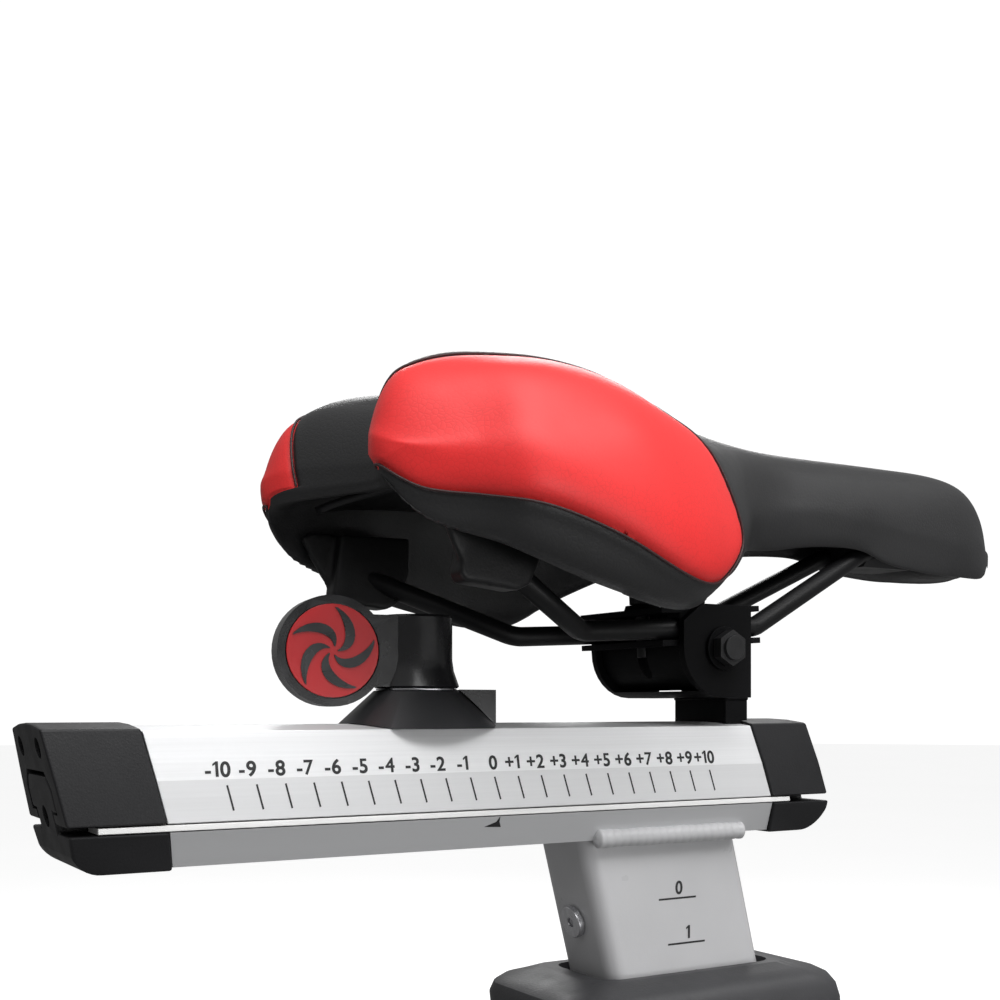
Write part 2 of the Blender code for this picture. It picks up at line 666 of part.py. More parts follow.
def lever_handle():
    """Flared hub with a flat paddle."""
    middle, top = HUB_Z
    profile = [(HUB_R - 0.8, top), (HUB_R, top - 0.8), (HUB_R, middle + 9), (HUB_R + 0.5, middle + 5.5),
               (HUB_FLARE_R, middle + 0.6), (HUB_FLARE_R - 0.6, middle)]
    body = turned("lever_handle", profile, (HUB_X, 0, 0), "black_plastic", 40)
    frozen(body)
    face, back = 8.0, 8.0 - DISC_T
    disc = round_bar("lever_disc", lever_point(DISC_REACH, back, DISC_Z),
                     lever_point(DISC_REACH, face, DISC_Z),
                     DISC_R, sides=48)
    combine(body, disc, "UNION")
    builder = bmesh.new()
    outline = [(0.0, middle + 0.4), (0.0, top - 0.4), (DISC_REACH * 0.55, top - 0.4),
               (DISC_REACH, DISC_Z + 14.5),
               (DISC_REACH, DISC_Z - 14.5), (DISC_REACH * 0.55, middle + 0.4)]
    rings = [[builder.verts.new(at(*lever_point(reach, out, z))) for reach, z in outline]
             for out in (back, face)]
    for i in range(len(outline)):
        j = (i + 1) % len(outline)
        builder.faces.new((rings[0][i], rings[0][j], rings[1][j], rings[1][i]))
    builder.faces.new(rings[0])
    builder.faces.new(list(reversed(rings[1])))
    combine(body, from_bmesh("lever_arm", builder, cutters), "UNION")
    combine(body, round_bar("lever_badge_seat", lever_point(DISC_REACH, face - 1.0, DISC_Z),
                            lever_point(DISC_REACH, face + 5, DISC_Z), 14.9, sides=40, collection=cutters))
    combine(body, round_bar("lever_bore", (HUB_X, 0, middle - 5), (HUB_X, 0, middle + 12), 5.3,
                            collection=cutters))
    combine(body, round_bar("lever_cap_seat", (HUB_X, 0, top - 2.0), (HUB_X, 0, top + 5), 8.3,
                            collection=cutters))
    return set_origin(body, at(HUB_X, 0, 0))


def lever_badge():
    body = round_bar("lever_badge", lever_point(DISC_REACH, 7.0 + GAP, DISC_Z),
                     lever_point(DISC_REACH, 8.1, DISC_Z), 14.5, sides=40)
    return finish(body, "badge_red")


def lever_hub_cap():
    body = round_bar("lever_hub_cap", (HUB_X, 0, HUB_Z[1] - 2.0 + GAP), (HUB_X, 0, HUB_Z[1] + 0.2), 7.9,
                     sides=32)
    return finish(body, "black_plastic", 0.4)


def lever_washer():
    low, high = CONE_Z[1] + 0.15, HUB_Z[0] - 0.15
    body = round_bar("lever_washer", (HUB_X, 0, low), (HUB_X, 0, high), 13.0, sides=40)
    combine(body, round_bar("washer_bore", (HUB_X, 0, low - 3), (HUB_X, 0, high + 3), 5.5,
                            collection=cutters))
    return finish(body, "zinc_steel")


SHOE_Z = (HEAD_TOP_Z + 0.7, HEAD_TOP_Z + 4.2)


def lock_screw():
    """Threaded stud turned by the lever."""
    body = round_bar("lock_screw", (HUB_X, 0, SHOE_Z[1] + 0.8), (HUB_X, 0, HUB_Z[0] + 11.5), 5.0)
    return finish(body, "zinc_steel")


def lock_shoe():
    """Pad that the stud presses on the lower rail's head."""
    low, high = SHOE_Z
    return finish(block("lock_shoe", (HUB_X - 14, -9.5, low), (HUB_X + 14, 9.5, high)), "black_plastic",
                  0.8)


# ---------------------------------------------------------------- saddle clamp
def clamp_point(along, y, up):
    """A point in the clamp's own frame, which leans nose-up with the rails and starts on their line."""
    middle = (CHEEK_X[0] + CHEEK_X[1]) / 2
    x = middle + along * math.cos(RAIL_TILT) - up * math.sin(RAIL_TILT)
    z = rail_z(middle) + along * math.sin(RAIL_TILT) + up * math.cos(RAIL_TILT)
    return (x, y, z)


def rail_z(x):
    """Height of the rails' centre line where they run straight."""
    return 24.9 + (x - 33.0) * math.tan(RAIL_TILT)


def clamp_slab(name, low, high, half_x, half_y, collection=parts):
    """A slab in the clamp's leaning frame, between two heights from the rails' centre line."""
    outline = [clamp_point(a, 0, u) for a, u in ((-half_x, low), (half_x, low), (half_x, high),
                                                 (-half_x, high))]
    return side_plate(name, [(x, z) for x, _, z in outline], -half_y, half_y, collection)


def rail_room(name, side):
    start, end = clamp_point(-60, side * RAIL_Y, 0), clamp_point(60, side * RAIL_Y, 0)
    return round_bar(name, start, end, RAIL_R + 0.35, sides=24, collection=cutters)


def lean_up():
    """The clamp frame's origin and its unit vector away from the slider."""
    middle = Vector(clamp_point(0, 0, 0))
    return middle, Vector(clamp_point(0, 0, 1)) - middle


def clamp_screw_line(side):
    """Foot point and direction of the front (side 1) or rear (side -1) clamp screw."""
    _, up = lean_up()
    return Vector(clamp_point(side * SCREW_REACH, 0, 0)), up


def clamp_plate_upper():
    """Pressed plate over both rails, with a raised pad under each clamp screw."""
    body = clamp_slab("clamp_plate_upper", PLATE_UP, PLATE_UP + 2.0, PLATE_X, PLATE_Y)
    for side in (-1, 1):
        rib = clamp_slab("plate_rib", 0.5, PLATE_UP + 1.0, 14.0, 3.4)
        rib.location.y = side * (RAIL_Y - 0.1) * MM
        combine(body, rib, "UNION")
    for side in (-1, 1):
        combine(body, rail_room("plate_seat", side))
        foot, up = clamp_screw_line(side)
        combine(body, round_bar("plate_boss", foot + up * (PLATE_UP + 1), foot + up * (PLATE_UP + 4.0),
                                7.0, 6.0),
                "UNION")
        combine(body, round_bar("plate_hole", foot - up * 20, foot + up * 40, SCREW_R + 0.3, sides=16,
                                collection=cutters))
    return finish(body, "black_steel")


def clamp_rocker():
    """Drum that turns on the tilt bolt between the cheeks, with a slab on top that seats the rails."""
    half = CHEEK_Y - CHEEK_T - 0.4
    body = round_bar("clamp_rocker", (BOLT_X, -half, BOLT_Z), (BOLT_X, half, BOLT_Z), 14.2, sides=40)
    combine(body, clamp_slab("rocker_top_room", -PLATE_DOWN, 60, 60, 60, cutters))
    combine(body, clamp_slab("rocker_slab", -PLATE_DOWN - 1.9, -PLATE_DOWN + 0.1, PLATE_X, PLATE_Y,
                             cutters), "UNION")
    for side in (-1, 1):
        rib = clamp_slab("rocker_rib", -PLATE_DOWN - 1.0, -0.5, 13.0, 3.4)
        rib.location.y = side * (RAIL_Y - 0.1) * MM
        combine(body, rib, "UNION")
    combine(body, clamp_slab("rocker_pad", -PLATE_DOWN - 1.0, -1.0, 9.0, 12.0, cutters), "UNION")
    combine(body, round_bar("rocker_bore", (BOLT_X, -40, BOLT_Z), (BOLT_X, 40, BOLT_Z), BOLT_R + 0.3,
                            collection=cutters))
    for side in (-1, 1):
        combine(body, rail_room("rocker_seat", side))
        foot, up = clamp_screw_line(side)
        combine(body, round_bar("rocker_hole", foot - up * 40, foot + up * 40, SCREW_R + 0.3, sides=16,
                                collection=cutters))
    return finish(body, "black_steel")


def clamp_screw(name, side):
    """Socket screw that pulls the upper plate down on the rails."""
    foot, up = clamp_screw_line(side)
    return screw(name, foot + up * (PLATE_UP + 4.0 + GAP + 4.2), -up, 4.6, 4.2, SCREW_R, 19.0,
                 "black_steel", 2.2)


def tilt_bolt():
    """Cross bolt with a hexagon head on the right-hand cheek."""
    outer = CHEEK_Y + 1.4 + GAP
    body = round_bar("tilt_bolt", (BOLT_X, -outer - 1, BOLT_Z), (BOLT_X, CHEEK_Y + 9, BOLT_Z), BOLT_R)
    head = round_bar("tilt_bolt_head", (BOLT_X, -outer, BOLT_Z), (BOLT_X, -outer - 3.8, BOLT_Z), 6.3,
                     sides=6)
    boss = round_bar("tilt_bolt_boss", (BOLT_X, -outer - 3, BOLT_Z), (BOLT_X, -outer - 5.0, BOLT_Z), 4.4,
                     4.1)
    combine(body, head, "UNION")
    combine(body, boss, "UNION")
    return finish(body, "black_steel")


def ring(name, y0, y1, outer, inner, sides, paint):
    body = round_bar(name, (BOLT_X, y0, BOLT_Z), (BOLT_X, y1, BOLT_Z), outer, sides=sides)
    combine(body, round_bar(name + "_bore", (BOLT_X, y0 - 4, BOLT_Z), (BOLT_X, y1 + 4, BOLT_Z), inner,
                            collection=cutters))
    return finish(body, paint)


# ---------------------------------------------------------------- saddle
def smooth(t):
    t = max(0.0, min(1.0, t))
    return t * t * (3 - 2 * t)


def through(points, x):
    """Smooth interpolation through (x, value) points."""
    if x <= points[0][0]:
        return points[0][1]
    for (x0, v0), (x1, v1) in zip(points, points[1:]):
        if x <= x1:
            t = (x - x0) / (x1 - x0)
            return v0 + (v1 - v0) * 0.5 * (smooth(t) + t)
    return points[-1][1]


SADDLE_REAR, SADDLE_NOSE = -53.0, 257.0
REAR_ROUND, NOSE_ROUND = -43.0, 247.0   # where the rounding of the two ends starts
MIDDLE_HEIGHT = ((-53, 73), (257, 64))
HALF_WIDTH = ((-53, 58), (-45, 64), (-35, 69), (-20, 74), (0, 76), (20, 75.5), (40, 72), (55, 67),
              (68, 60), (80, 50),
              (92, 38), (105, 29), (120, 24), (140, 22), (180, 20.5), (205, 19.5), (225, 17.5),
              (238, 13.5), (247, 9),
              (257, 2.5))
TOP_HEIGHT = ((-53, 97), (-44, 100), (-37, 103), (-28, 105.5), (-17, 107), (0, 108), (20, 108), (40, 106),
              (55, 103.5), (68, 100.5), (84, 97.5), (100, 96), (130, 94.8), (185, 95), (215, 94.5),
              (233, 91),
              (246, 83), (254, 73), (257, 67))
EDGE_HEIGHT = ((-53, 54.5), (-48, 51.5), (-40, 48.5), (-28, 46), (-14, 42.5), (8, 36), (28, 31),
               (44, 29.5), (55, 31.5),
               (65, 38), (74, 43), (88, 50), (100, 54), (116, 55.5), (136, 58.5), (158, 59.5),
               (168, 58.5), (176, 55.5), (184, 54), (200, 52.5), (209, 52), (220, 52), (231, 52), (240, 52.5),
               (249, 54.5), (257, 60))
SEAM_HEIGHT = ((-53, 69), (-48, 64), (-42, 60.5), (-28, 58.3), (-9, 55), (12, 48.8), (33, 40.8), (46, 37.6),
               (56, 38.3), (65, 43.5),
               (78, 51), (95, 59), (125, 64), (160, 66), (184, 66), (209, 62.5), (231, 59), (240, 58),
               (257, 62))
WIDEST_HEIGHT = ((-53, 73), (-20, 70), (0, 65), (20, 60), (40, 54), (55, 50), (68, 52), (85, 62), (105, 68),
                 (140, 72), (190, 68), (257, 66.5))
PAD_DEPTH = ((-53, 30), (90, 28), (140, 20), (257, 20))
# drop of the crown below the top, at four fractions of the half width
CROWN_DROPS = (
    (0.50, ((-53, 1), (0, 1), (20, 2), (40, 4.5), (55, 5), (68, 7), (85, 4), (105, 2), (257, 1.2))),
    (0.68, ((-53, 6), (-20, 6.5), (0, 6), (20, 8), (40, 12), (55, 12.5), (68, 13), (85, 8), (105, 4.5),
            (257, 3.5))),
    (0.84, ((-53, 13), (-20, 12.5), (0, 12.5), (20, 15), (40, 19), (55, 21), (68, 21), (85, 15), (105, 10),
            (257, 8))),
    (0.95, ((-53, 24), (-20, 26), (0, 26), (20, 28), (40, 35), (55, 38), (68, 36), (85, 28), (105, 20),
            (257, 16))),
)


def cover_section(x):
    """Right half of the pad's section at a station, as (y, z): crown, flank, skirt and underside."""
    width, top, edge = through(HALF_WIDTH, x), through(TOP_HEIGHT, x), through(EDGE_HEIGHT, x)
    seam = through(SEAM_HEIGHT, x)
    wing = smooth((110 - x) / 90.0)
    dip = 5.0 * wing
    under = min(max(top - through(PAD_DEPTH, x), edge + 6), top - 5)
    crown = [(share * width, top - through(drop, x)) for share, drop in CROWN_DROPS]
    points = [
        (0.0, top - dip), (0.28 * width, top - dip * 0.3 - 0.3), *crown,
        (1.0 * width, through(WIDEST_HEIGHT, x)), (0.985 * width, seam + 1.5), (0.95 * width, seam - 2.5),
        (0.925 * width, (seam + edge) / 2 - 0.5), (0.875 * width, edge + 0.8), (0.84 * width, edge),
        (0.79 * width, edge + 2.5), (0.72 * width, under - 3), (0.3 * width, under), (0.0, under),
    ]
    rear = max(0.0, (REAR_ROUND - x) / (REAR_ROUND - SADDLE_REAR))
    nose = max(0.0, (x - NOSE_ROUND) / (SADDLE_NOSE - NOSE_ROUND))
    close = math.sqrt(1 - (0.96 * max(rear, nose)) ** 2)
    middle = through(MIDDLE_HEIGHT, x)
    return [(y * (0.9 + 0.1 * close), middle + (z - middle) * close) for y, z in points]


def cover_shift(x, y):
    """How far forward a point moves to round the two rear lobes and open the cleft between them."""
    tail = 1 - smooth((x - SADDLE_REAR) / 45.0)
    return 22.0 * tail * (1 - smooth(y / 47.0)) + 15.0 * tail * smooth((y - 42) / 24.0)


def saddle_ring(x):
    """The section's points in the saddle's own frame."""
    return [(x + cover_shift(x, y), y, z) for y, z in cover_section(x)]


def saddle_stations(count):
    """Stations along the saddle, closer together at both ends."""
    return [SADDLE_REAR + (SADDLE_NOSE - SADDLE_REAR) * (i / (count - 1)) for i in range(count)]


def loft(name, rings):
    """A closed skin over half rings, each running from the top on the mid plane to the underside on it."""
    builder = bmesh.new()
    verts = [[builder.verts.new(at(*point)) for point in ring] for ring in rings]
    for a, b in zip(verts, verts[1:]):
        for j in range(len(a) - 1):
            builder.faces.new((a[j], a[j + 1], b[j + 1], b[j]))
    for ring in (verts[0], verts[-1]):
        last = len(ring) - 1
        for j in range(last // 2):
            face = [ring[j], ring[j + 1], ring[last - j - 1], ring[last - j]]
            unique = list(dict.fromkeys(face))
            if len(unique) > 2:
                builder.faces.new(unique)
    obj = from_bmesh(name, builder)
    mirror = obj.modifiers.new("mirror", "MIRROR")
    mirror.use_axis = (False, True, False)
    mirror.use_clip = True
    mirror.merge_threshold = 0.00005
    obj.data.shade_smooth()
    return obj


def saddle_pad():
    body = loft("saddle_pad", [saddle_ring(x) for x in saddle_stations(27)])
    return finish(body, "black_vinyl")


def shell_ring(x):
    """Half section of the moulded base under the pad."""
    width = through(HALF_WIDTH, x)
    under = cover_section(x)[-1][1] - 1.0
    thick = 3.0
    drop = 1.6 + 0.04 * width
    points = [(0.0, under), (0.3 * width, under), (0.58 * width, under - drop),
              (0.58 * width, under - drop - thick), (0.3 * width, under - thick), (0.0, under - thick)]
    return [(x + cover_shift(x, y), y, z) for y, z in points]


def saddle_shell():
    stations = [x for x in saddle_stations(27) if -38 < x < 236]
    body = loft("saddle_shell", [shell_ring(x) for x in stations])
    return finish(body, "black_plastic")


def rail_path(side):
    """Corner points of one saddle rail, from its rear socket to its nose socket, with bend radii."""
    straight = ((33.0, RAIL_Y), (108.0, RAIL_Y))
    return [
        ((-15.0, side * 44.2, 45.8), 0), ((straight[0][0], side * straight[0][1], rail_z(33.0)), 11),
        ((straight[1][0], side * straight[1][1], rail_z(108.0)), 12), ((172.0, side * 10.5, 59.6), 14),
        ((194.0, side * 8.6, 64.2), 0),
    ]


def rounded_path(corners, steps=5):
    """Points along a polyline whose corners are turned into arcs."""
    points = [Vector(corners[0][0])]
    for (a, _), (b, radius), (c, _) in zip(corners, corners[1:], corners[2:]):
        a, b, c = Vector(a), Vector(b), Vector(c)
        back, ahead = (a - b).normalized(), (c - b).normalized()
        half = back.angle(ahead) / 2
        reach = radius / math.tan(half)
        bisector = (back + ahead).normalized()
        centre = b + bisector * (radius / math.sin(half))
        start, end = b + back * reach - centre, b + ahead * reach - centre
        turn = start.angle(end)
        for i in range(steps + 1):
            t = i / steps
            spot = (start * math.sin((1 - t) * turn) + end * math.sin(t * turn)) / math.sin(turn)
            points.append(centre + spot)
    points.append(Vector(corners[-1][0]))
    return points


def rail_mesh(name, side, radius, collection=parts, longer=0.0):
    curve = bpy.data.curves.new(name, "CURVE")
    curve.dimensions = "3D"
    curve.bevel_depth = radius * MM
    curve.bevel_resolution = 2
    curve.use_fill_caps = True
    points = rounded_path(rail_path(side))
    points[0] += (points[0] - points[1]).normalized() * longer
    points[-1] += (points[-1] - points[-2]).normalized() * longer
    spline = curve.splines.new("POLY")
    spline.points.add(len(points) - 1)
    for spot, point in zip(spline.points, points):
        spot.co = (*at(*point), 1.0)
    source = bpy.data.objects.new(name + "_curve", curve)
    bpy.context.scene.collection.objects.link(source)
    bpy.context.view_layer.update()
    shape = bpy.data.meshes.new_from_object(source.evaluated_get(bpy.context.evaluated_depsgraph_get()))
    builder = bmesh.new()
    builder.from_mesh(shape)
    bmesh.ops.remove_doubles(builder, verts=builder.verts, dist=0.00001)
    obj = from_bmesh(name, builder, collection)
    bpy.data.objects.remove(source, do_unlink=True)
    obj.data.shade_smooth()
    return obj


def saddle_rail(name, side):
    return finish(rail_mesh(name, side, RAIL_R), "black_steel")


def rear_socket(name, side):
    """Moulded gusset of the base shell that holds a rail's rear end."""
    outline = [(-29, 61.0), (-28, 38.5), (-26, 35.8), (-9, 34.0), (-4, 35.8), (2, 46.0), (3, 61.0)]
    body = side_plate(name, outline, side * 39.0, side * 49.5)
    combine(body, rail_mesh(name + "_bore", side, RAIL_R + 0.3, cutters, 0.6))
    return finish(body, "black_plastic", 0.8)


def nose_socket():
    half = [(0, 67.0), (10.5, 67.0), (13.4, 63.0), (12.8, 58.0), (10.0, 54.8), (0, 54.8)]
    body = prism("nose_socket", mirrored(half), 174.0, 200.0)
    for side in (-1, 1):
        combine(body, rail_mesh("nose_bore", side, RAIL_R + 0.3, cutters, 0.6))
    return finish(body, "black_plastic", 0.8)


# ---------------------------------------------------------------- build, grouped by moving body
def group(name, point, pieces):
    """An empty on a joint's axis that carries the pieces moving with it."""
    holder = bpy.data.objects.new(name, None)
    holder.location = at(*point)
    parts.objects.link(holder)
    bpy.context.view_layer.update()
    for piece in pieces:
        piece.parent = holder
        piece.matrix_parent_inverse = holder.matrix_world.inverted()
    return holder


pad, stud, hub, badge = height_lock()
group("frame", (*along_tube(RIM_DISTANCE)[:1], 0, RIM_Z), [
    seat_tube(), collar_shroud(), guide_sleeve(), height_lock_boss(),
])
group("height_lever", lock_point(TUBE_HALF_X), [stud, hub, badge])
group("height_pad", lock_point(POST_X / 2), [pad])
group("post", (POST_TOP[0], 0, POST_TOP[1]), [
    seat_post(), post_end_plug(), post_side_screw(), lower_rail(),
    weld_bead("weld_bead_left", 1), weld_bead("weld_bead_right", -1),
    glide_strip("glide_strip_left", 1), glide_strip("glide_strip_right", -1),
    lower_cap("lower_cap_rear", -1), lower_cap("lower_cap_front", 1),
    lower_cap_screw("lower_cap_screw_rear", -1), lower_cap_screw("lower_cap_screw_front", 1),
])
group("carriage", (0, 0, FOLD_Z), [
    upper_slider(), upper_cap("upper_cap_rear", -1), upper_cap("upper_cap_front", 1),
    upper_cap_screw("upper_cap_screw_rear_left", -1, 1), upper_cap_screw("upper_cap_screw_rear_right", -1,
                                                                         -1),
    upper_cap_screw("upper_cap_screw_front_left", 1, 1), upper_cap_screw("upper_cap_screw_front_right", 1,
                                                                         -1),
    lever_cone(), lever_stop_block(), lever_washer(), stem_bar(), clamp_bracket(), tilt_bolt(),
    ring("tilt_bolt_washer", -CHEEK_Y - 1.4, -CHEEK_Y - GAP, 7.6, BOLT_R + GAP, 24, "black_steel"),
    ring("tilt_bolt_nut", CHEEK_Y + GAP, CHEEK_Y + 6.5, 6.6, BOLT_R + GAP, 6, "black_steel"),
])
group("fore_aft_lever", (HUB_X, 0, 0), [lever_handle(), lever_badge(), lever_hub_cap(), lock_screw()])
group("lock_shoe_body", (HUB_X, 0, SHOE_Z[0]), [lock_shoe()])
group("clamp", (BOLT_X, 0, BOLT_Z), [
    clamp_rocker(), clamp_plate_upper(), clamp_screw("clamp_screw_front", 1),
    clamp_screw("clamp_screw_rear", -1),
])
group("saddle", (BOLT_X, 0, rail_z(BOLT_X)), [
    saddle_pad(), saddle_shell(), saddle_rail("saddle_rail_left", 1), saddle_rail("saddle_rail_right", -1),
    rear_socket("rear_socket_left", 1), rear_socket("rear_socket_right", -1), nose_socket(),
])
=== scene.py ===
"""Looks for an indoor bike's saddle unit.

Saddle, tilt clamp, scaled slider, lock lever, height post and collar.
"""

import math

import bmesh
import bpy
from mathutils import Matrix, Vector


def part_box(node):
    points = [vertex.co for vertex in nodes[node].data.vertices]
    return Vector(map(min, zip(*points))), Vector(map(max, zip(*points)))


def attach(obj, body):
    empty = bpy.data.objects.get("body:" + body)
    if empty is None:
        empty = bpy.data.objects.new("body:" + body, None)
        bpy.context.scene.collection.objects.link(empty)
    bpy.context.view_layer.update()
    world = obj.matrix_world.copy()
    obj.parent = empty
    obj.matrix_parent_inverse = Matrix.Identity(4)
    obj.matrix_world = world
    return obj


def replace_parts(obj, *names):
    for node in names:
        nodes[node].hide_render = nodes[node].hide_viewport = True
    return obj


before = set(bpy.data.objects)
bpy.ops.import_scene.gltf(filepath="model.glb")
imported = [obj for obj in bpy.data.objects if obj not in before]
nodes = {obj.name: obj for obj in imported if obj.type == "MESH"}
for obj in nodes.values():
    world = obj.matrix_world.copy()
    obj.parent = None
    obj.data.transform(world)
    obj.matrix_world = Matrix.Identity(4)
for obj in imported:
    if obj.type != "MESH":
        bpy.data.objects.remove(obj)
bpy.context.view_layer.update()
scene = bpy.context.scene
MM = 0.001

# Reference, in millimetres: x from the scale's zero, y from the mid plane, z from the slider's datum height.
screw_low, screw_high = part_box("lock_screw")
ZERO_X = (screw_low.x + screw_high.x) / 2 + 16.6 * MM
ZERO_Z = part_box("lever_cone")[0].z + 6.7 * MM


def spot(x, y, z):
    return Vector((ZERO_X + x * MM, y * MM, ZERO_Z + z * MM))


def smooth(t):
    t = max(0.0, min(1.0, t))
    return t * t * (3 - 2 * t)


def through(points, x):
    """Monotone, rounded interpolation through (x, value) points."""
    if x <= points[0][0]:
        return points[0][1]
    for i in range(len(points) - 1):
        (x0, v0), (x1, v1) = points[i], points[i + 1]
        if x <= x1:
            before = points[i - 1] if i else points[i]
            after = points[i + 2] if i + 2 < len(points) else points[i + 1]
            h = x1 - x0
            m0 = (v1 - before[1]) / (x1 - before[0])
            m1 = (after[1] - v0) / (after[0] - x0)
            t = (x - x0) / h
            return ((2 * t**3 - 3 * t**2 + 1) * v0 + (t**3 - 2 * t**2 + t) * h * m0
                    + (3 * t**2 - 2 * t**3) * v1 + (t**3 - t**2) * h * m1)
    return points[-1][1]


# ---------------------------------------------------------------- materials
class Tree:
    """A Principled material with short helpers for its nodes."""

    def __init__(self, name):
        self.material = bpy.data.materials.new(name)
        self.material.use_nodes = True
        self.nodes = self.material.node_tree.nodes
        self.links = self.material.node_tree.links
        self.shader = self.nodes["Principled BSDF"]
        self.coords = self.nodes.new("ShaderNodeTexCoord").outputs["Object"]

    def link(self, a, b):
        self.links.new(a, b)

    def mapped(self, stretch):
        node = self.nodes.new("ShaderNodeMapping")
        node.inputs["Scale"].default_value = stretch
        self.link(self.coords, node.inputs["Vector"])
        return node.outputs["Vector"]

    def noise(self, scale, detail=3.0, rough=0.5, vector=None):
        node = self.nodes.new("ShaderNodeTexNoise")
        node.inputs["Scale"].default_value = scale
        node.inputs["Detail"].default_value = detail
        node.inputs["Roughness"].default_value = rough
        self.link(vector or self.coords, node.inputs["Vector"])
        return node.outputs["Fac"]

    def cells(self, scale, feature="F1", vector=None):
        node = self.nodes.new("ShaderNodeTexVoronoi")
        node.feature = feature
        node.inputs["Scale"].default_value = scale
        self.link(vector or self.coords, node.inputs["Vector"])
        return node.outputs["Distance"]

    def range(self, value, low, high, to_low, to_high):
        node = self.nodes.new("ShaderNodeMapRange")
        for key, number in (("From Min", low), ("From Max", high), ("To Min", to_low), ("To Max", to_high)):
            node.inputs[key].default_value = number
        self.link(value, node.inputs["Value"])
        return node.outputs["Result"]

    def math(self, operation, a, b):
        node = self.nodes.new("ShaderNodeMath")
        node.operation = operation
        for socket, value in zip(node.inputs, (a, b)):
            if isinstance(value, (int, float)):
                socket.default_value = value
            else:
                self.link(value, socket)
        return node.outputs[0]

    def mix(self, factor, a, b):
        node = self.nodes.new("ShaderNodeMix")
        node.data_type = "RGBA"
        self.link(factor, node.inputs["Factor"])
        for socket, value in ((node.inputs[6], a), (node.inputs[7], b)):
            if isinstance(value, tuple):
                socket.default_value = (*value, 1.0)
            else:
                self.link(value, socket)
        return node.outputs[2]

    def edges(self, low=0.52, high=0.6):
        """1 on convex edges, 0 on flats."""
        node = self.nodes.new("ShaderNodeNewGeometry")
        return self.range(node.outputs["Pointiness"], low, high, 0.0, 1.0)

    def bump(self, height, strength, distance=0.0002, normal=None):
        node = self.nodes.new("ShaderNodeBump")
        node.inputs["Strength"].default_value = strength
        node.inputs["Distance"].default_value = distance
        self.link(height, node.inputs["Height"])
        if normal is not None:
            self.link(normal, node.inputs["Normal"])
        return node.outputs["Normal"]

    def finish(self, colour, roughness, metallic=0.0, normal=None, coat=0.0, specular=0.5):
        for key, value in (("Base Color", colour), ("Roughness", roughness), ("Metallic", metallic),
                           ("Coat Weight", coat), ("Specular IOR Level", specular)):
            socket = self.shader.inputs[key]
            if isinstance(value, tuple):
                socket.default_value = (*value, 1.0)
            elif isinstance(value, (int, float)):
                socket.default_value = value
            else:
                self.link(value, socket)
        if normal is not None:
            self.link(normal, self.shader.inputs["Normal"])
        return self.material


def moulded(name, colour, rough=0.5, grain=1800.0, depth=0.25, edge=1.6, specular=0.45):
    """Moulded plastic: fine spark-eroded grain, slow colour drift, paler worn edges."""
    t = Tree(name)
    drift = t.range(t.noise(35, 2), 0.3, 0.7, 0.0, 1.0)
    base = t.mix(drift, tuple(c * 0.85 for c in colour), tuple(min(1, c * 1.15) for c in colour))
    base = t.mix(t.edges(), base, tuple(min(1, c * edge + 0.004) for c in colour))
    fine = t.noise(grain, 4, 0.65)
    pits = t.cells(grain * 0.8)
    height = t.math("ADD", fine, pits)
    roughness = t.range(t.noise(120, 3), 0.3, 0.7, rough - 0.06, rough + 0.06)
    return t.finish(base, roughness, 0.0, t.bump(height, depth, 0.00012), specular=specular)


def painted(name, colour, rough=0.35, edge=1.3, peel=500.0, specular=0.5):
    """Powder coat: orange peel, slow gloss change, worn edges."""
    t = Tree(name)
    drift = t.range(t.noise(25, 2), 0.3, 0.7, 0.0, 1.0)
    base = t.mix(drift, tuple(c * 0.93 for c in colour), tuple(min(1, c * 1.06) for c in colour))
    base = t.mix(t.edges(), base, tuple(min(1, c * edge) for c in colour))
    height = t.math("ADD", t.noise(peel, 2), t.noise(peel * 5, 2))
    roughness = t.range(t.noise(60, 4), 0.3, 0.7, rough - 0.05, rough + 0.07)
    return t.finish(base, roughness, 0.0, t.bump(height, 0.18, 0.00015), specular=specular)


def extruded(name, colour, rough=0.36, metallic=0.75, flank=1.0):
    """Anodised aluminium with faint die lines along the extrusion, with painted shade darkening its upright
    flanks.
    """
    t = Tree(name)
    lines = t.noise(1, 3, 0.7, t.mapped((9, 1400, 1400)))
    wide = t.noise(1, 2, 0.5, t.mapped((4, 260, 260)))
    base = t.mix(t.range(lines, 0.35, 0.65, 0.0, 1.0), tuple(c * 0.95 for c in colour), colour)
    # Painted shade: the base colour is scaled by flank on facets whose true normal points less upward, so
    # upright flanks read darker.
    facing = t.nodes.new("ShaderNodeNewGeometry")
    split = t.nodes.new("ShaderNodeSeparateXYZ")
    t.link(facing.outputs["True Normal"], split.inputs[0])
    base = t.mix(t.range(split.outputs["Z"], 0.11, 0.16, 0.0, 1.0), tuple(c * flank for c in colour), base)
    roughness = t.range(wide, 0.3, 0.7, rough - 0.05, rough + 0.06)
    grain = t.math("ADD", lines, t.math("MULTIPLY", t.noise(4000, 2), 0.5))
    return t.finish(base, roughness, metallic, t.bump(grain, 0.05, 0.00008))


def metal(name, colour, rough=0.3, scale=900.0, metallic=1.0):
    """Machined and plated steel with fine tooling marks."""
    t = Tree(name)
    marks = t.noise(1, 4, 0.6, t.mapped((scale, scale, scale * 0.15)))
    base = t.mix(t.range(marks, 0.3, 0.7, 0.0, 1.0), tuple(c * 0.8 for c in colour), colour)
    base = t.mix(t.edges(), base, tuple(min(1, c * 1.3) for c in colour))
    roughness = t.range(t.noise(300, 4), 0.3, 0.7, rough - 0.06, rough + 0.1)
    return t.finish(base, roughness, metallic, t.bump(marks, 0.15, 0.00008))


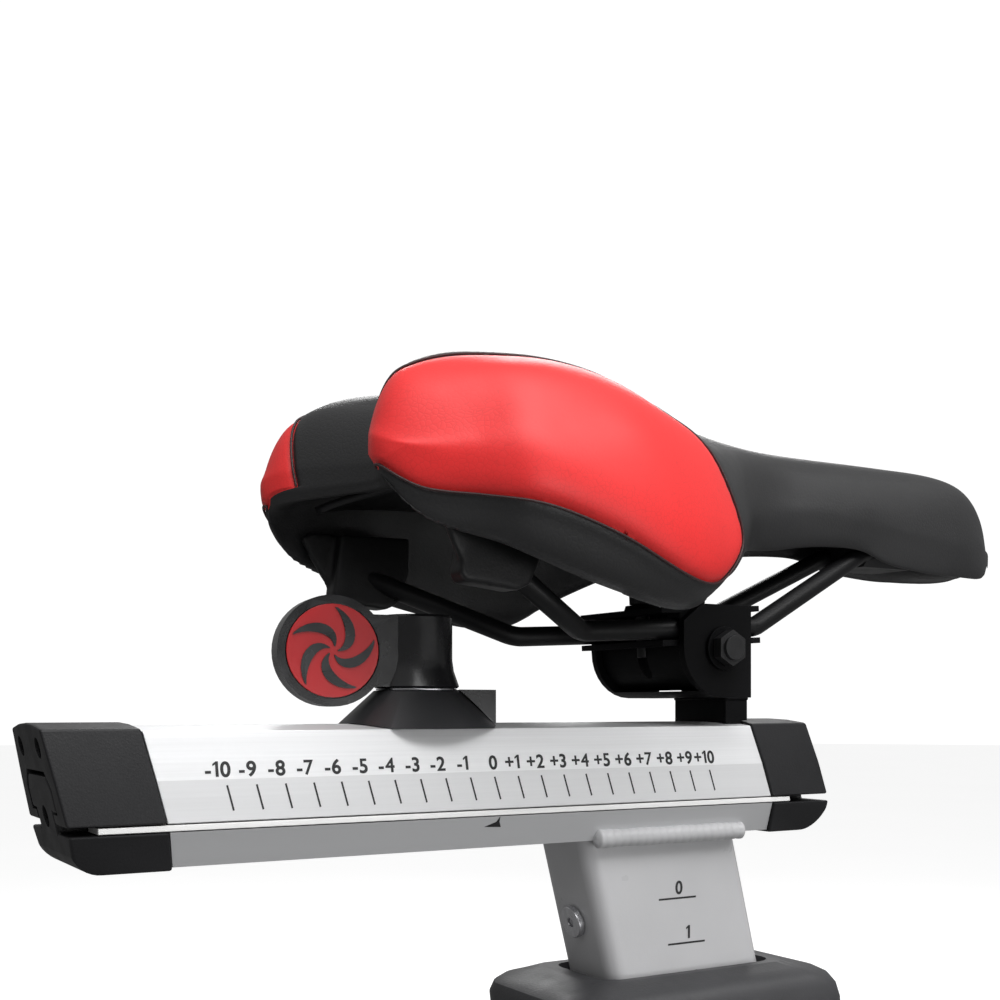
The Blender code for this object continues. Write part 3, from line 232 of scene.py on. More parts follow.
def vinyl(name, colour, rough=0.42, pebble=620.0, depth=0.16, sheen=0.0):
    """Coated upholstery: pebbled grain, fine creases, painted shade in the grain's valleys and a soft,
    uneven gloss.
    """
    t = Tree(name)
    warp = t.nodes.new("ShaderNodeVectorMath")
    warp.operation = "ADD"
    bend = t.nodes.new("ShaderNodeTexNoise")
    bend.inputs["Scale"].default_value = 90.0
    t.link(t.coords, bend.inputs["Vector"])
    small = t.nodes.new("ShaderNodeVectorMath")
    small.operation = "SCALE"
    small.inputs["Scale"].default_value = 0.004
    t.link(bend.outputs["Color"], small.inputs[0])
    t.link(t.coords, warp.inputs[0])
    t.link(small.outputs[0], warp.inputs[1])
    grain = t.cells(pebble, "DISTANCE_TO_EDGE", warp.outputs[0])
    pores = t.noise(3200, 3, 0.6)
    height = t.math("ADD", t.range(grain, 0.0, 0.22, 0.0, 1.0), t.math("MULTIPLY", pores, 0.5))
    drift = t.range(t.noise(18, 3), 0.3, 0.7, 0.0, 1.0)
    base = t.mix(drift, tuple(c * 0.9 for c in colour), tuple(min(1, c * 1.08) for c in colour))
    # Painted shade: the colour darkens to 0.55 of itself in the valleys between the grain's pebbles.
    valley_shade = t.range(grain, 0.0, 0.06, 0.25, 0.0)
    base = t.mix(valley_shade, base, tuple(c * 0.55 for c in colour))
    roughness = t.range(t.noise(45, 4), 0.3, 0.7, rough - 0.05, rough + 0.07)
    material = t.finish(base, roughness, 0.0, t.bump(height, depth, 0.00018), specular=0.5)
    t.shader.inputs["Sheen Weight"].default_value = sheen
    return material


def ink(name, colour, rough=0.5):
    t = Tree(name)
    base = t.mix(t.range(t.noise(700, 3), 0.3, 0.7, 0.0, 1.0), colour,
                 tuple(c * 1.5 + 0.004 for c in colour))
    return t.finish(base, rough, 0.0, t.bump(t.noise(3000, 2), 0.08, 0.0001))


LOOK = {
    "aluminium": extruded("aluminium", (0.86, 0.865, 0.875), 0.4, 0.3, 0.68),
    # Painted shade: a darker copy of the same aluminium for the lower rail, whose facets slope inward and
    # face downward.
    "aluminium_lower_shaded": extruded("aluminium_lower_shaded", (0.62, 0.625, 0.635), 0.42, 0.3),
    "post": painted("post_paint", (0.50, 0.50, 0.51), 0.32, 1.25),
    "weld": painted("weld_paint", (0.50, 0.50, 0.51), 0.34, 1.2, 900.0),
    "cap": moulded("cap_plastic", (0.010, 0.010, 0.0112), 0.5, specular=0.3),
    "strip": moulded("strip_plastic", (0.84, 0.84, 0.83), 0.4, 1500.0, 0.08, 1.0),
    "screw": metal("black_oxide", (0.02, 0.02, 0.021), 0.45, 900.0, 0.4),
    "zinc": metal("zinc_plate", (0.62, 0.62, 0.64), 0.28),
    "lever": moulded("lever_plastic", (0.012, 0.012, 0.013), 0.24, 2400.0, 0.06, 2.0, 0.55),
    "inlay": moulded("inlay_red", (0.50, 0.012, 0.016), 0.34, 2200.0, 0.08, 1.1, 0.5),
    "clamp": painted("clamp_paint", (0.003, 0.003, 0.0034), 0.5, 2.0, 700.0, 0.08),
    "rail": painted("rail_paint", (0.006, 0.006, 0.0065), 0.4, 2.0, 900.0, 0.25),
    "black": vinyl("vinyl_black", (0.020, 0.020, 0.021), 0.46),
    "red": vinyl("vinyl_red", (0.88, 0.030, 0.030), 0.47, 620.0, 0.07),
    "thread": vinyl("seam_cord", (0.035, 0.012, 0.013), 0.5, 1500.0, 0.2),
    "shell": moulded("shell_plastic", (0.006, 0.006, 0.0066), 0.45, 1500.0, 0.2, 1.8, 0.3),
    "shroud": moulded("shroud_plastic", (0.042, 0.042, 0.045), 0.5, 1300.0, 0.3, 1.4),
    "frame": painted("frame_paint", (0.040, 0.040, 0.043), 0.34, 1.5, 600.0),
    "cone": moulded("cone_plastic", (0.030, 0.030, 0.032), 0.38, 2000.0, 0.08, 1.6, 0.4),
    "ink": ink("scale_ink", (0.008, 0.008, 0.009)),
}

NODE_LOOK = {
    "seat_tube": ("frame", 0.6), "height_lock_boss": ("frame", 0.5), "collar_shroud": ("shroud", 0.8),
    "guide_sleeve": ("shell", 0.4), "post_end_plug": ("shell", 0.5), "height_lock_pad": ("shell", 0.3),
    "height_lock_screw": ("zinc", 0.3), "height_lock_lever": ("lever", 0.5),
    "height_lock_badge": ("inlay", 0.2),
    "seat_post": ("post", 0.5), "post_side_screw": ("zinc", 0.3),
    "lower_rail": ("aluminium_lower_shaded", 0.25), "glide_strip_left": ("strip", 0.2),
    "glide_strip_right": ("strip", 0.2),
    "lower_cap_rear": ("cap", 0.6), "lower_cap_front": ("cap", 0.6),
    "lower_cap_screw_rear": ("screw", 0.3), "lower_cap_screw_front": ("screw", 0.3),
    "upper_slider": ("aluminium", 0.25), "upper_cap_rear": ("cap", 0.7), "upper_cap_front": ("cap", 0.7),
    "upper_cap_screw_rear_left": ("screw", 0.25), "upper_cap_screw_rear_right": ("screw", 0.25),
    "upper_cap_screw_front_left": ("screw", 0.25), "upper_cap_screw_front_right": ("screw", 0.25),
    "lever_cone": ("cone", 0.5), "lever_stop_block": ("lever", 0.6), "lever_washer": ("zinc", 0.1),
    "stem_bar": ("clamp", 0.2), "clamp_bracket": ("clamp", 0.3), "tilt_bolt": ("screw", 0.4),
    "tilt_bolt_washer": ("clamp", 0.2), "tilt_bolt_nut": ("screw", 0.4),
    "lever_handle": ("lever", 0.7), "lever_badge": ("inlay", 0.15), "lever_hub_cap": ("lever", 0.2),
    "lock_screw": ("zinc", 0.3), "lock_shoe": ("shell", 0.4),
    "clamp_rocker": ("clamp", 0.4), "clamp_plate_upper": ("clamp", 0.4),
    "clamp_screw_front": ("screw", 0.3), "clamp_screw_rear": ("screw", 0.3),
    "nose_socket": ("shell", 0.8),
}


def set_material(obj, *keys):
    obj.data.materials.clear()
    for key in keys:
        obj.data.materials.append(LOOK[key])


def dress(name, look, width):
    """Material, rounded edges and smooth curved faces for a CAD node."""
    obj = nodes[name]
    set_material(obj, look)
    weld = obj.modifiers.new("weld", "WELD")
    weld.merge_threshold = 0.00001
    bevel = obj.modifiers.new("edges", "BEVEL")
    bevel.width = width * MM
    bevel.segments = 3
    bevel.limit_method = "ANGLE"
    bevel.angle_limit = math.radians(32)
    bevel.use_clamp_overlap = True
    for polygon in obj.data.polygons:
        polygon.use_smooth = True
    flat = obj.modifiers.new("flat", "WEIGHTED_NORMAL")
    flat.weight = 100
    flat.keep_sharp = True


for node_name, (look, edge_width) in NODE_LOOK.items():
    dress(node_name, look, edge_width)


# ---------------------------------------------------------------- mesh helpers
def new_object(name, builder, *looks):
    mesh = bpy.data.meshes.new(name)
    builder.to_mesh(mesh)
    builder.free()
    obj = bpy.data.objects.new(name, mesh)
    scene.collection.objects.link(obj)
    set_material(obj, *looks)
    return obj


def baked(obj):
    """Turns the object's modifiers into its mesh."""
    bpy.context.view_layer.update()
    graph = bpy.context.evaluated_depsgraph_get()
    mesh = bpy.data.meshes.new_from_object(obj.evaluated_get(graph), preserve_all_data_layers=True,
                                           depsgraph=graph)
    old = obj.data
    obj.modifiers.clear()
    obj.data = mesh
    bpy.data.meshes.remove(old)
    return obj


def catmull(points, count):
    """count + 1 points evenly spaced along a smooth curve through the points."""
    padded = [points[0] * 2 - points[1], *points, points[-1] * 2 - points[-2]]
    fine = []
    for i in range(1, len(padded) - 2):
        a, b, c, d = padded[i - 1:i + 3]
        for k in range(12):
            t = k / 12
            fine.append(0.5 * ((2 * b) + (c - a) * t + (2 * a - 5 * b + 4 * c - d) * t**2
                               + (3 * b - a - 3 * c + d) * t**3))
    fine.append(points[-1].copy())
    lengths = [0.0]
    for a, b in zip(fine, fine[1:]):
        lengths.append(lengths[-1] + (b - a).length)
    out = []
    j = 0
    for k in range(count + 1):
        target = lengths[-1] * k / count
        while j < len(lengths) - 2 and lengths[j + 1] < target:
            j += 1
        step = lengths[j + 1] - lengths[j]
        t = (target - lengths[j]) / step if step else 0.0
        out.append(fine[j].lerp(fine[j + 1], t))
    return out


def tube(name, path, radius, look, sides=20, ripple=None):
    """A closed round tube along a path of points in metres."""
    builder = bmesh.new()
    rings = []
    side = Vector((0, 0, 1))
    for i, point in enumerate(path):
        ahead = (path[min(i + 1, len(path) - 1)] - path[max(i - 1, 0)]).normalized()
        side = (side - ahead * side.dot(ahead)).normalized()
        other = ahead.cross(side)
        r = radius * (ripple(i) if ripple else 1.0)
        turns = [2 * math.pi * k / sides for k in range(sides)]
        rings.append([
            builder.verts.new(point + side * (r * math.cos(turn)) + other * (r * math.sin(turn)))
            for turn in turns
        ])
    for a, b in zip(rings, rings[1:]):
        for k in range(sides):
            n = (k + 1) % sides
            builder.faces.new((a[k], b[k], b[n], a[n])).smooth = True
    builder.faces.new(rings[0])
    builder.faces.new(list(reversed(rings[-1])))
    bmesh.ops.recalc_face_normals(builder, faces=builder.faces)
    return new_object(name, builder, look)


# ---------------------------------------------------------------- saddle cover
REAR, NOSE = -53.0, 257.0
REAR_ROUND, NOSE_ROUND = -43.0, 247.0   # where the rounding of the two ends starts
MIDDLE_HEIGHT = ((-53, 73), (257, 64))
HALF_WIDTH = ((-53, 58), (-45, 64), (-35, 69), (-20, 74), (0, 76), (20, 75.5), (40, 72), (55, 67),
              (68, 60), (80, 50), (92, 38), (105, 29), (120, 24), (140, 22), (180, 20.5), (205, 19.5),
              (225, 17.5), (238, 13.5), (247, 9), (257, 2.5))
TOP_HEIGHT = ((-53, 97), (-44, 100), (-37, 103), (-28, 105.5), (-17, 107), (0, 108), (20, 108), (40, 106),
              (55, 103.5), (68, 100.5), (84, 97.5), (100, 96), (130, 94.8), (185, 95), (215, 94.5),
              (233, 91), (246, 83), (254, 73), (257, 67))
EDGE_HEIGHT = ((-53, 54.5), (-48, 51.5), (-40, 48.5), (-28, 46), (-14, 42.5), (8, 36), (28, 31),
               (44, 29.5), (55, 31.5), (65, 38), (74, 43), (88, 50), (100, 54), (116, 55.5), (136, 58.5),
               (158, 59.5), (168, 58.5), (176, 55.5), (184, 54), (200, 52.5), (209, 52), (220, 52),
               (231, 52), (240, 52.5), (249, 54.5), (257, 60))
SEAM_HEIGHT = ((-53, 69), (-48, 64), (-42, 60.5), (-28, 58.3), (-9, 55), (12, 48.8), (33, 40.8),
               (46, 37.6), (56, 38.3), (65, 43.5), (78, 51), (95, 59), (125, 64), (160, 66), (184, 66),
               (209, 62.5), (231, 59), (240, 58), (257, 62))
WIDEST_HEIGHT = ((-53, 73), (-20, 70), (0, 65), (20, 60), (40, 54), (55, 50), (68, 52), (85, 62),
                 (105, 68), (140, 72), (190, 68), (257, 66.5))
PAD_DEPTH = ((-53, 30), (90, 28), (140, 20), (257, 20))
# drop of the crown below the top, at four fractions of the half width
CROWN_DROPS = (
    (0.50, ((-53, 1), (0, 1), (20, 2), (40, 4.5), (55, 5), (68, 7), (85, 4), (105, 2), (257, 1.2))),
    (0.68, ((-53, 6), (-20, 6.5), (0, 6), (20, 8), (40, 12), (55, 12.5), (68, 13), (85, 8), (105, 4.5),
            (257, 3.5))),
    (0.84, ((-53, 13), (-20, 12.5), (0, 12.5), (20, 15), (40, 19), (55, 21), (68, 21), (85, 15), (105, 10),
            (257, 8))),
    (0.95, ((-53, 24), (-20, 26), (0, 26), (20, 28), (40, 35), (55, 38), (68, 36), (85, 28), (105, 20),
            (257, 16))),
)
TOP_SEAM = ((-53, 34), (-45, 36.5), (-35, 40), (-20, 44.5), (0, 48.5), (20, 52), (40, 52), (57, 47),
            (80, 40))
FRONT_SEAM = ((38, 63), (45, 69.5), (51, 71.5), (61, 69.5), (71, 65.5), (80, 61.5), (88, 56), (97, 51))
STATIONS, AROUND, CAP_STEPS = 132, 72, 14
END_DENSITY = 0.6                # how much closer the stations are at both ends


def cover_section(x):
    """Right half of the pad's section at a station, as (y, z): crown, flank, skirt and underside."""
    width, top, edge = through(HALF_WIDTH, x), through(TOP_HEIGHT, x), through(EDGE_HEIGHT, x)
    seam = through(SEAM_HEIGHT, x)
    wing = smooth((110 - x) / 90.0)
    dip = 5.0 * wing
    under = min(max(top - through(PAD_DEPTH, x), edge + 6), top - 5)
    crown = [(share * width, top - through(drop, x)) for share, drop in CROWN_DROPS]
    points = [
        (0.0, top - dip), (0.28 * width, top - dip * 0.3 - 0.3), *crown,
        (1.0 * width, through(WIDEST_HEIGHT, x)), (0.985 * width, seam + 1.5), (0.95 * width, seam - 2.5),
        (0.925 * width, (seam + edge) / 2 - 0.5), (0.875 * width, edge + 0.8), (0.84 * width, edge),
        (0.79 * width, edge + 2.5), (0.72 * width, under - 3), (0.3 * width, under), (0.0, under),
    ]
    rear = max(0.0, (REAR_ROUND - x) / (REAR_ROUND - REAR))
    nose = max(0.0, (x - NOSE_ROUND) / (NOSE - NOSE_ROUND))
    close = math.sqrt(1 - (0.96 * max(rear, nose)) ** 2)
    middle = through(MIDDLE_HEIGHT, x)
    return [(y * (0.9 + 0.1 * close), middle + (z - middle) * close) for y, z in points]


def cover_shift(x, y):
    """How far forward a point moves to round the two rear lobes and open the cleft between them."""
    tail = 1 - smooth((x - REAR) / 45.0)
    return 22.0 * tail * (1 - smooth(y / 47.0)) + 15.0 * tail * smooth((y - 42) / 24.0)


def cover_ring(x):
    """Points round half the section, with each one's distance along it past the lower edge."""
    curve = catmull([Vector((0, y, z)) for y, z in cover_section(x)], AROUND)
    lowest = min(range(len(curve)),
                 key=lambda i: curve[i].z if curve[i].y > 0.5 * curve[AROUND // 2].y else 1e9)
    step = (curve[1] - curve[0]).length
    spare = 8.0 * (1 - smooth((x - REAR) / 22.0))
    return [(Vector((x + cover_shift(x, p.y), p.y, p.z)), (lowest - i) * step + spare)
            for i, p in enumerate(curve)]


def softly(a, b, k=9.0):
    """The smaller of two values, with a rounded change-over."""
    h = max(k - abs(a - b), 0.0) / k
    return min(a, b) - h * h * k / 4


def red_depth(x, y, z, outer):
    """How far a point lies inside the red flank panel, in millimetres."""
    tail = 1 - smooth((x - REAR) / 25.0)
    rim = (abs(y) - through(TOP_SEAM, x) + 0.35 * tail * (97 - z)) * 0.9
    low = z - through(SEAM_HEIGHT, x)
    front = (through(FRONT_SEAM, z) - x) * 0.95
    return min(softly(softly(rim, low), front), outer)


def end_cap(builder, layer, row):
    """Closes the last section with a grid fine enough for the seam to cross it cleanly."""
    columns = []
    for upper, lower in zip(row[:AROUND // 2], reversed(row[AROUND // 2 + 1:])):
        column = [upper]
        for k in range(1, CAP_STEPS):
            vert = builder.verts.new(upper.co.lerp(lower.co, k / CAP_STEPS))
            vert[layer] = upper[layer] + (lower[layer] - upper[layer]) * k / CAP_STEPS
            column.append(vert)
        columns.append(column + [lower])
    for one, two in zip(columns, columns[1:]):
        for k in range(CAP_STEPS):
            builder.faces.new((one[k], one[k + 1], two[k + 1], two[k]))
    for k in range(CAP_STEPS):
        builder.faces.new((columns[-1][k], columns[-1][k + 1], row[AROUND // 2]))


def saddle_cover():
    builder = bmesh.new()
    layer = builder.verts.layers.float.new("outer")
    rows = []
    for i in range(STATIONS + 1):
        s = i / STATIONS
        x = REAR + (NOSE - REAR) * (s - END_DENSITY * math.sin(2 * math.pi * s) / (2 * math.pi))
        row = []
        for point, outer in cover_ring(x):
            vert = builder.verts.new(spot(*point))
            vert[layer] = outer
            row.append(vert)
        rows.append(row)
    for a, b in zip(rows, rows[1:]):
        for j in range(AROUND):
            builder.faces.new((a[j], a[j + 1], b[j + 1], b[j]))
    for row in (rows[0], rows[-1]):
        end_cap(builder, layer, row)
    obj = new_object("saddle_cover", builder, "black", "red")
    mirror = obj.modifiers.new("mirror", "MIRROR")
    mirror.use_axis = (False, True, False)
    mirror.merge_threshold = 0.00002
    baked(obj)
    builder = bmesh.new()
    builder.from_mesh(obj.data)
    bmesh.ops.recalc_face_normals(builder, faces=builder.faces)
    builder.to_mesh(obj.data)
    builder.free()
    return obj


def local(co):
    """A point's x, y, z in the reference, in millimetres."""
    return ((co.x - ZERO_X) / MM, co.y / MM, (co.z - ZERO_Z) / MM)


MAX_SWELL = 2.4                  # how far the cover may move in the simulation
PRESSURE = 5.0
SETTLING_FRAMES = 16


def inflate(obj):
    """Cloth simulation: the sewn panels swell between pinned seams, then the result is applied."""
    start = [v.co.copy() for v in obj.data.vertices]
    outer = [v.value for v in obj.data.attributes["outer"].data]
    pin = obj.vertex_groups.new(name="pin")
    for vert, side in zip(obj.data.vertices, outer):
        x, y, z = local(vert.co)
        seam = abs(red_depth(x, y, z, side))
        hold = 1.0 if side < 1.0 else max(0.0, 1.0 - seam / 5.0)
        pin.add([vert.index], hold, "REPLACE")
    cloth = obj.modifiers.new("cloth", "CLOTH")
    settings = cloth.settings
    settings.quality = 6
    settings.mass = 0.3
    settings.tension_stiffness = 30
    settings.compression_stiffness = 30
    settings.bending_stiffness = 8
    settings.use_pressure = True
    settings.uniform_pressure_force = PRESSURE
    settings.vertex_group_mass = "pin"
    settings.effector_weights.gravity = 0
    for step in range(1, SETTLING_FRAMES + 1):
        scene.frame_set(step)
    baked(obj)
    scene.frame_set(1)
    limit = MAX_SWELL * MM
    for vert, rest in zip(obj.data.vertices, start):
        move = vert.co - rest
        if move.length > limit:
            move *= limit / move.length
        vert.co = rest + move
    obj.vertex_groups.clear()
    return obj


def cut_along(builder, depth):
    """Cuts the mesh along the line where depth is zero, so a colour change follows mesh edges."""
    values = {v: depth(v) for v in builder.verts}
    for v, value in values.items():
        if abs(value) < 0.02:
            values[v] = 0.0
    for edge in list(builder.edges):
        a, b = edge.verts
        if values[a] * values[b] < 0:
            t = values[a] / (values[a] - values[b])
            _, fresh = bmesh.utils.edge_split(edge, a, t)
            values[fresh] = 0.0
    for face in list(builder.faces):
        crossing = [v for v in face.verts if values[v] == 0.0]
        if len(crossing) == 2 and not any(set(e.verts) == set(crossing) for e in face.edges):
            bmesh.utils.face_split(face, crossing[0], crossing[1])
    return values


cover = saddle_cover()
inflate(cover)
relax = cover.modifiers.new("relax", "SMOOTH")
relax.factor = 0.5
relax.iterations = 7
smoothing = cover.modifiers.new("subdivision", "SUBSURF")
smoothing.levels = 1
smoothing.render_levels = 1
baked(cover)


def seam_field(builder):
    side = builder.verts.layers.float["outer"]
    return lambda v: red_depth(*local(v.co), v[side])


def chains(edges):
    """Orders edges into point lists."""
    neighbours = {}
    for edge in edges:
        for a, b in (edge.verts, reversed(edge.verts)):
            neighbours.setdefault(a, []).append(b)
    left = set(neighbours)
    out = []
    while left:
        ends = [v for v in left if len(neighbours[v]) == 1]
        current = min(ends or left, key=lambda v: tuple(v.co))
        chain = [current]
        left.discard(current)
        while True:
            options = [v for v in neighbours[current] if v in left]
            if not options:
                break
            current = options[0]
            left.discard(current)
            chain.append(current)
        closed = len(chain) > 4 and chain[0] in neighbours[current]
        out.append(([v.co.copy() for v in chain], closed))
    return out


def relaxed(points, closed, rounds=6):
    for _ in range(rounds):
        count = len(points)
        fresh = []
        for i, point in enumerate(points):
            if not closed and i in (0, count - 1):
                fresh.append(point)
                continue
            fresh.append(point * 0.5 + (points[i - 1] + points[(i + 1) % count]) * 0.25)
        points = fresh
    return points


def under_panel(vert):
    """Whether a point is on the skirt below the red panel."""
    x, y, z = local(vert.co)
    return x < 70 and z < through(SEAM_HEIGHT, x) and abs(y) > 20


def sew(obj):
    """Cuts the seams, presses them in, colours the panels and returns each seam's line for a cord."""
    builder = bmesh.new()
    builder.from_mesh(obj.data)
    side = builder.verts.layers.float["outer"]
    field = seam_field(builder)
    cut_along(builder, field)
    builder.normal_update()
    depth = {v: field(v) for v in builder.verts}
    normals = {v: v.normal.copy() for v in builder.verts}
    shift = {}
    for v, red in depth.items():
        groove = 1.0 * math.exp(-(red / 1.2) ** 2)
        swell = 0.5 * smooth(red / 6.0)
        tuck = 0.8 * smooth((-red - 0.5) / 3.0) if under_panel(v) else 0.0
        shift[v] = swell - groove - tuck if v[side] > 1 else 0.0
    on_line = {v for v, red in depth.items() if abs(red) < 0.03 and v[side] > 2}
    seams = chains([e for e in builder.edges if e.verts[0] in on_line and e.verts[1] in on_line])
    for face in builder.faces:
        face.material_index = 1 if sum(depth[v] for v in face.verts) > 0 else 0
        face.smooth = True
    for v in builder.verts:
        v.co += normals[v] * (shift[v] * MM)
    builder.to_mesh(obj.data)
    builder.free()
    return seams


seam_lines = sew(cover)
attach(cover, "saddle")
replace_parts(cover, "saddle_pad")
for index, (points, closed) in enumerate(line for line in seam_lines if len(line[0]) > 25):
    points = relaxed(points, closed)
    if closed:
        points = points + points[:2]
    cord = tube(f"seam_cord_{index}", points, 0.42 * MM, "thread", 8)
    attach(cord, "saddle")

# ---------------------------------------------------------------- saddle base and rails
def saddle_base():
    """Moulded base under the pad, with two long ribs."""
    builder = bmesh.new()
    rows = []
    for i in range(64):
        x = -36.0 + 272.0 * i / 63
        section = cover_section(x)
        width = through(HALF_WIDTH, x)
        under = section[-1][1] - 1.2
        drop = 1.6 + 0.04 * width
        row = []
        for k in range(25):
            y = -0.58 * width + 1.16 * width * k / 24
            bow = drop * (abs(y) / (0.58 * width)) ** 2
            rib = 1.0 if abs(abs(y) - 0.30 * width) < 2.2 and x > 10 else 0.0
            row.append(builder.verts.new(spot(x + cover_shift(x, abs(y)), y, under - bow - rib)))
        rows.append(row)
    for a, b in zip(rows, rows[1:]):
        for j in range(24):
            builder.faces.new((a[j], b[j], b[j + 1], a[j + 1])).smooth = True
    obj = new_object("saddle_base", builder, "shell")
    thick = obj.modifiers.new("thickness", "SOLIDIFY")
    thick.thickness = 2.6 * MM
    thick.offset = -1
    baked(obj)
    builder = bmesh.new()
    builder.from_mesh(obj.data)
    bmesh.ops.recalc_face_normals(builder, faces=builder.faces)
    builder.to_mesh(obj.data)
    builder.free()
    return obj


base = saddle_base()
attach(base, "saddle")
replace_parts(base, "saddle_shell")


def hull(builder, points):
    verts = [builder.verts.new(spot(*p)) for p in points]
    bmesh.ops.convex_hull(builder, input=verts)


def socket(name, side):
    """Moulded boot that holds a rail's rear end, with a fin running back to the skirt."""
    pieces = []
    boot = [(x, side * y, z) for x, y0, y1, z in (
        (-27.5, 41.5, 49.0, 38.6), (-25.5, 40.5, 49.0, 36.0), (-8.0, 39.4, 48.6, 34.2),
        (-3.5, 39.8, 48.6, 36.2), (1.5, 40.5, 49.0, 47.0), (2.0, 41.0, 49.3, 60.0),
        (-24.0, 41.5, 49.3, 60.0)) for y in (y0, y1)]
    fin = [(x, side * y, z) for x, y0, y1, z in (
        (-36.0, 49.0, 51.0, 58.5), (-33.0, 48.0, 50.0, 52.0), (-27.0, 46.0, 48.6, 41.5),
        (-20.0, 45.5, 48.6, 44.0), (-20.0, 46.0, 49.0, 60.0), (-33.0, 48.5, 50.5, 61.0)) for y in (y0, y1)]
    for label, points in (("boot", boot), ("fin", fin)):
        builder = bmesh.new()
        hull(builder, points)
        pieces.append(new_object(f"{name}_{label}", builder, "shell"))
    body, extra = pieces
    join = body.modifiers.new("join", "BOOLEAN")
    join.operation = "UNION"
    join.solver = "EXACT"
    join.object = extra
    grid = body.modifiers.new("grid", "REMESH")
    grid.mode = "VOXEL"
    grid.voxel_size = 0.7 * MM
    soften = body.modifiers.new("soften", "SMOOTH")
    soften.factor = 0.5
    soften.iterations = 10
    baked(body)
    bpy.data.objects.remove(extra)
    set_material(body, "shell")
    body.name = name
    for polygon in body.data.polygons:
        polygon.use_smooth = True
    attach(body, "saddle")
    return body


for label, way in (("left", 1), ("right", -1)):
    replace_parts(socket(f"rear_boot_{label}", way), f"rear_socket_{label}")

RAIL_Y, RAIL_TILT = 20.8, math.radians(2.8)


def rail_height(x):
    return 24.9 + (x - 33.0) * math.tan(RAIL_TILT)


def rounded_path(corners, steps=14):
    points = [corners[0][0]]
    for (a, _), (b, radius), (c, _) in zip(corners, corners[1:], corners[2:]):
        back, ahead = (a - b).normalized(), (c - b).normalized()
        half = back.angle(ahead) / 2
        reach = radius / math.tan(half)
        centre = b + (back + ahead).normalized() * (radius / math.sin(half))
        start, end = b + back * reach - centre, b + ahead * reach - centre
        turn = start.angle(end)
        for i in range(steps + 1):
            t = i / steps
            swept = start * math.sin((1 - t) * turn) + end * math.sin(t * turn)
            points.append(centre + swept / math.sin(turn))
    points.append(corners[-1][0])
    return points


for label, way in (("left", 1), ("right", -1)):
    corners = [
        (Vector((-15.0, way * 44.2, 45.8)), 0), (Vector((33.0, way * RAIL_Y, rail_height(33.0))), 11),
        (Vector((108.0, way * RAIL_Y, rail_height(108.0))), 12), (Vector((172.0, way * 10.5, 59.6)), 14),
        (Vector((194.0, way * 8.6, 64.2)), 0),
    ]
    rail = tube(f"rail_{label}", [spot(*p) for p in rounded_path(corners)], 3.5 * MM, "rail", 28)
    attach(rail, "saddle")
    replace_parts(rail, f"saddle_rail_{label}")

# ---------------------------------------------------------------- printed scale, pointer and post marks
TICK = 8.7
SLANT = 0.23


def on_facet(x, high, low, part, lift):
    """A point on the slider's near side, part of the way down a facet, lifted off it in millimetres."""
    (y0, z0), (y1, z1) = high, low
    down = Vector((0, -(y1 - y0), z1 - z0)).normalized()
    normal = Vector((0, down.z, -down.y))
    return Vector((x, -(y0 + (y1 - y0) * part), z0 + (z1 - z0) * part)) + normal * lift


CROWN_EDGE, FOLD, WIDEST = (18.6, -6.7), (21.5, -20.2), (23.1, -31.9)


def strip_between(builder, a, b, half, up):
    """A thin raised line from a to b on a surface with normal up; sizes in millimetres."""
    along = (b - a).normalized()
    side = along.cross(up).normalized() * half
    low = [a - side, a + side, b + side, b - side]
    bottom = [builder.verts.new(spot(*(p - up * 0.02))) for p in low]
    top = [builder.verts.new(spot(*(p + up * 0.06))) for p in low]
    builder.faces.new(top)
    builder.faces.new(list(reversed(bottom)))
    for i in range(4):
        j = (i + 1) % 4
        builder.faces.new((bottom[i], bottom[j], top[j], top[i]))


def scale_ticks():
    builder = bmesh.new()
    down = Vector((0, -(WIDEST[0] - FOLD[0]), WIDEST[1] - FOLD[1])).normalized()
    normal = Vector((0, down.z, -down.y))
    for n in range(-10, 11):
        parts = []
        for z in (-21.9, -29.0):
            part = (z - FOLD[1]) / (WIDEST[1] - FOLD[1])
            parts.append(on_facet(n * TICK + (FOLD[1] - 1.5 - z) * SLANT - 0.2, FOLD, WIDEST, part, 0.0))
        strip_between(builder, parts[0], parts[1], 0.28, normal)
    bmesh.ops.recalc_face_normals(builder, faces=builder.faces)
    return new_object("scale_ticks", builder, "ink")


def glyph(char, size):
    """A flat solid for one character from the origin up and right, and its width, in millimetres."""
    builder = bmesh.new()
    if char == "1":
        outline = ((0.13, 0), (0.27, 0), (0.27, 0.72), (0.16, 0.72), (0.0, 0.60), (0.0, 0.50), (0.13, 0.58))
        flat = builder.faces.new([builder.verts.new((x * size, y * size, 0)) for x, y in outline])
        lifted = bmesh.ops.extrude_face_region(builder, geom=[flat])["geom"]
        bmesh.ops.translate(builder, vec=(0, 0, 0.06),
                            verts=[g for g in lifted if isinstance(g, bmesh.types.BMVert)])
    else:
        curve = bpy.data.curves.new("character", "FONT")
        curve.body = char
        curve.size = size
        curve.extrude = 0.03
        holder = bpy.data.objects.new("character", curve)
        scene.collection.objects.link(holder)
        bpy.context.view_layer.update()
        mesh = bpy.data.meshes.new_from_object(holder.evaluated_get(bpy.context.evaluated_depsgraph_get()))
        builder.from_mesh(mesh)
        bpy.data.objects.remove(holder)
        bpy.data.meshes.remove(mesh)
        bmesh.ops.remove_doubles(builder, verts=builder.verts, dist=0.001)
        bmesh.ops.recalc_face_normals(builder, faces=builder.faces)
        builder.normal_update()
        for v in builder.verts:
            outward = Vector((v.normal.x, v.normal.y, 0))
            if outward.length > 0.2:
                v.co += outward.normalized() * BOLD
    bmesh.ops.recalc_face_normals(builder, faces=builder.faces)
    left = min(v.co.x for v in builder.verts)
    bmesh.ops.translate(builder, vec=(-left, 0, 0), verts=builder.verts)
    return builder, max(v.co.x for v in builder.verts)


BOLD = 0.16


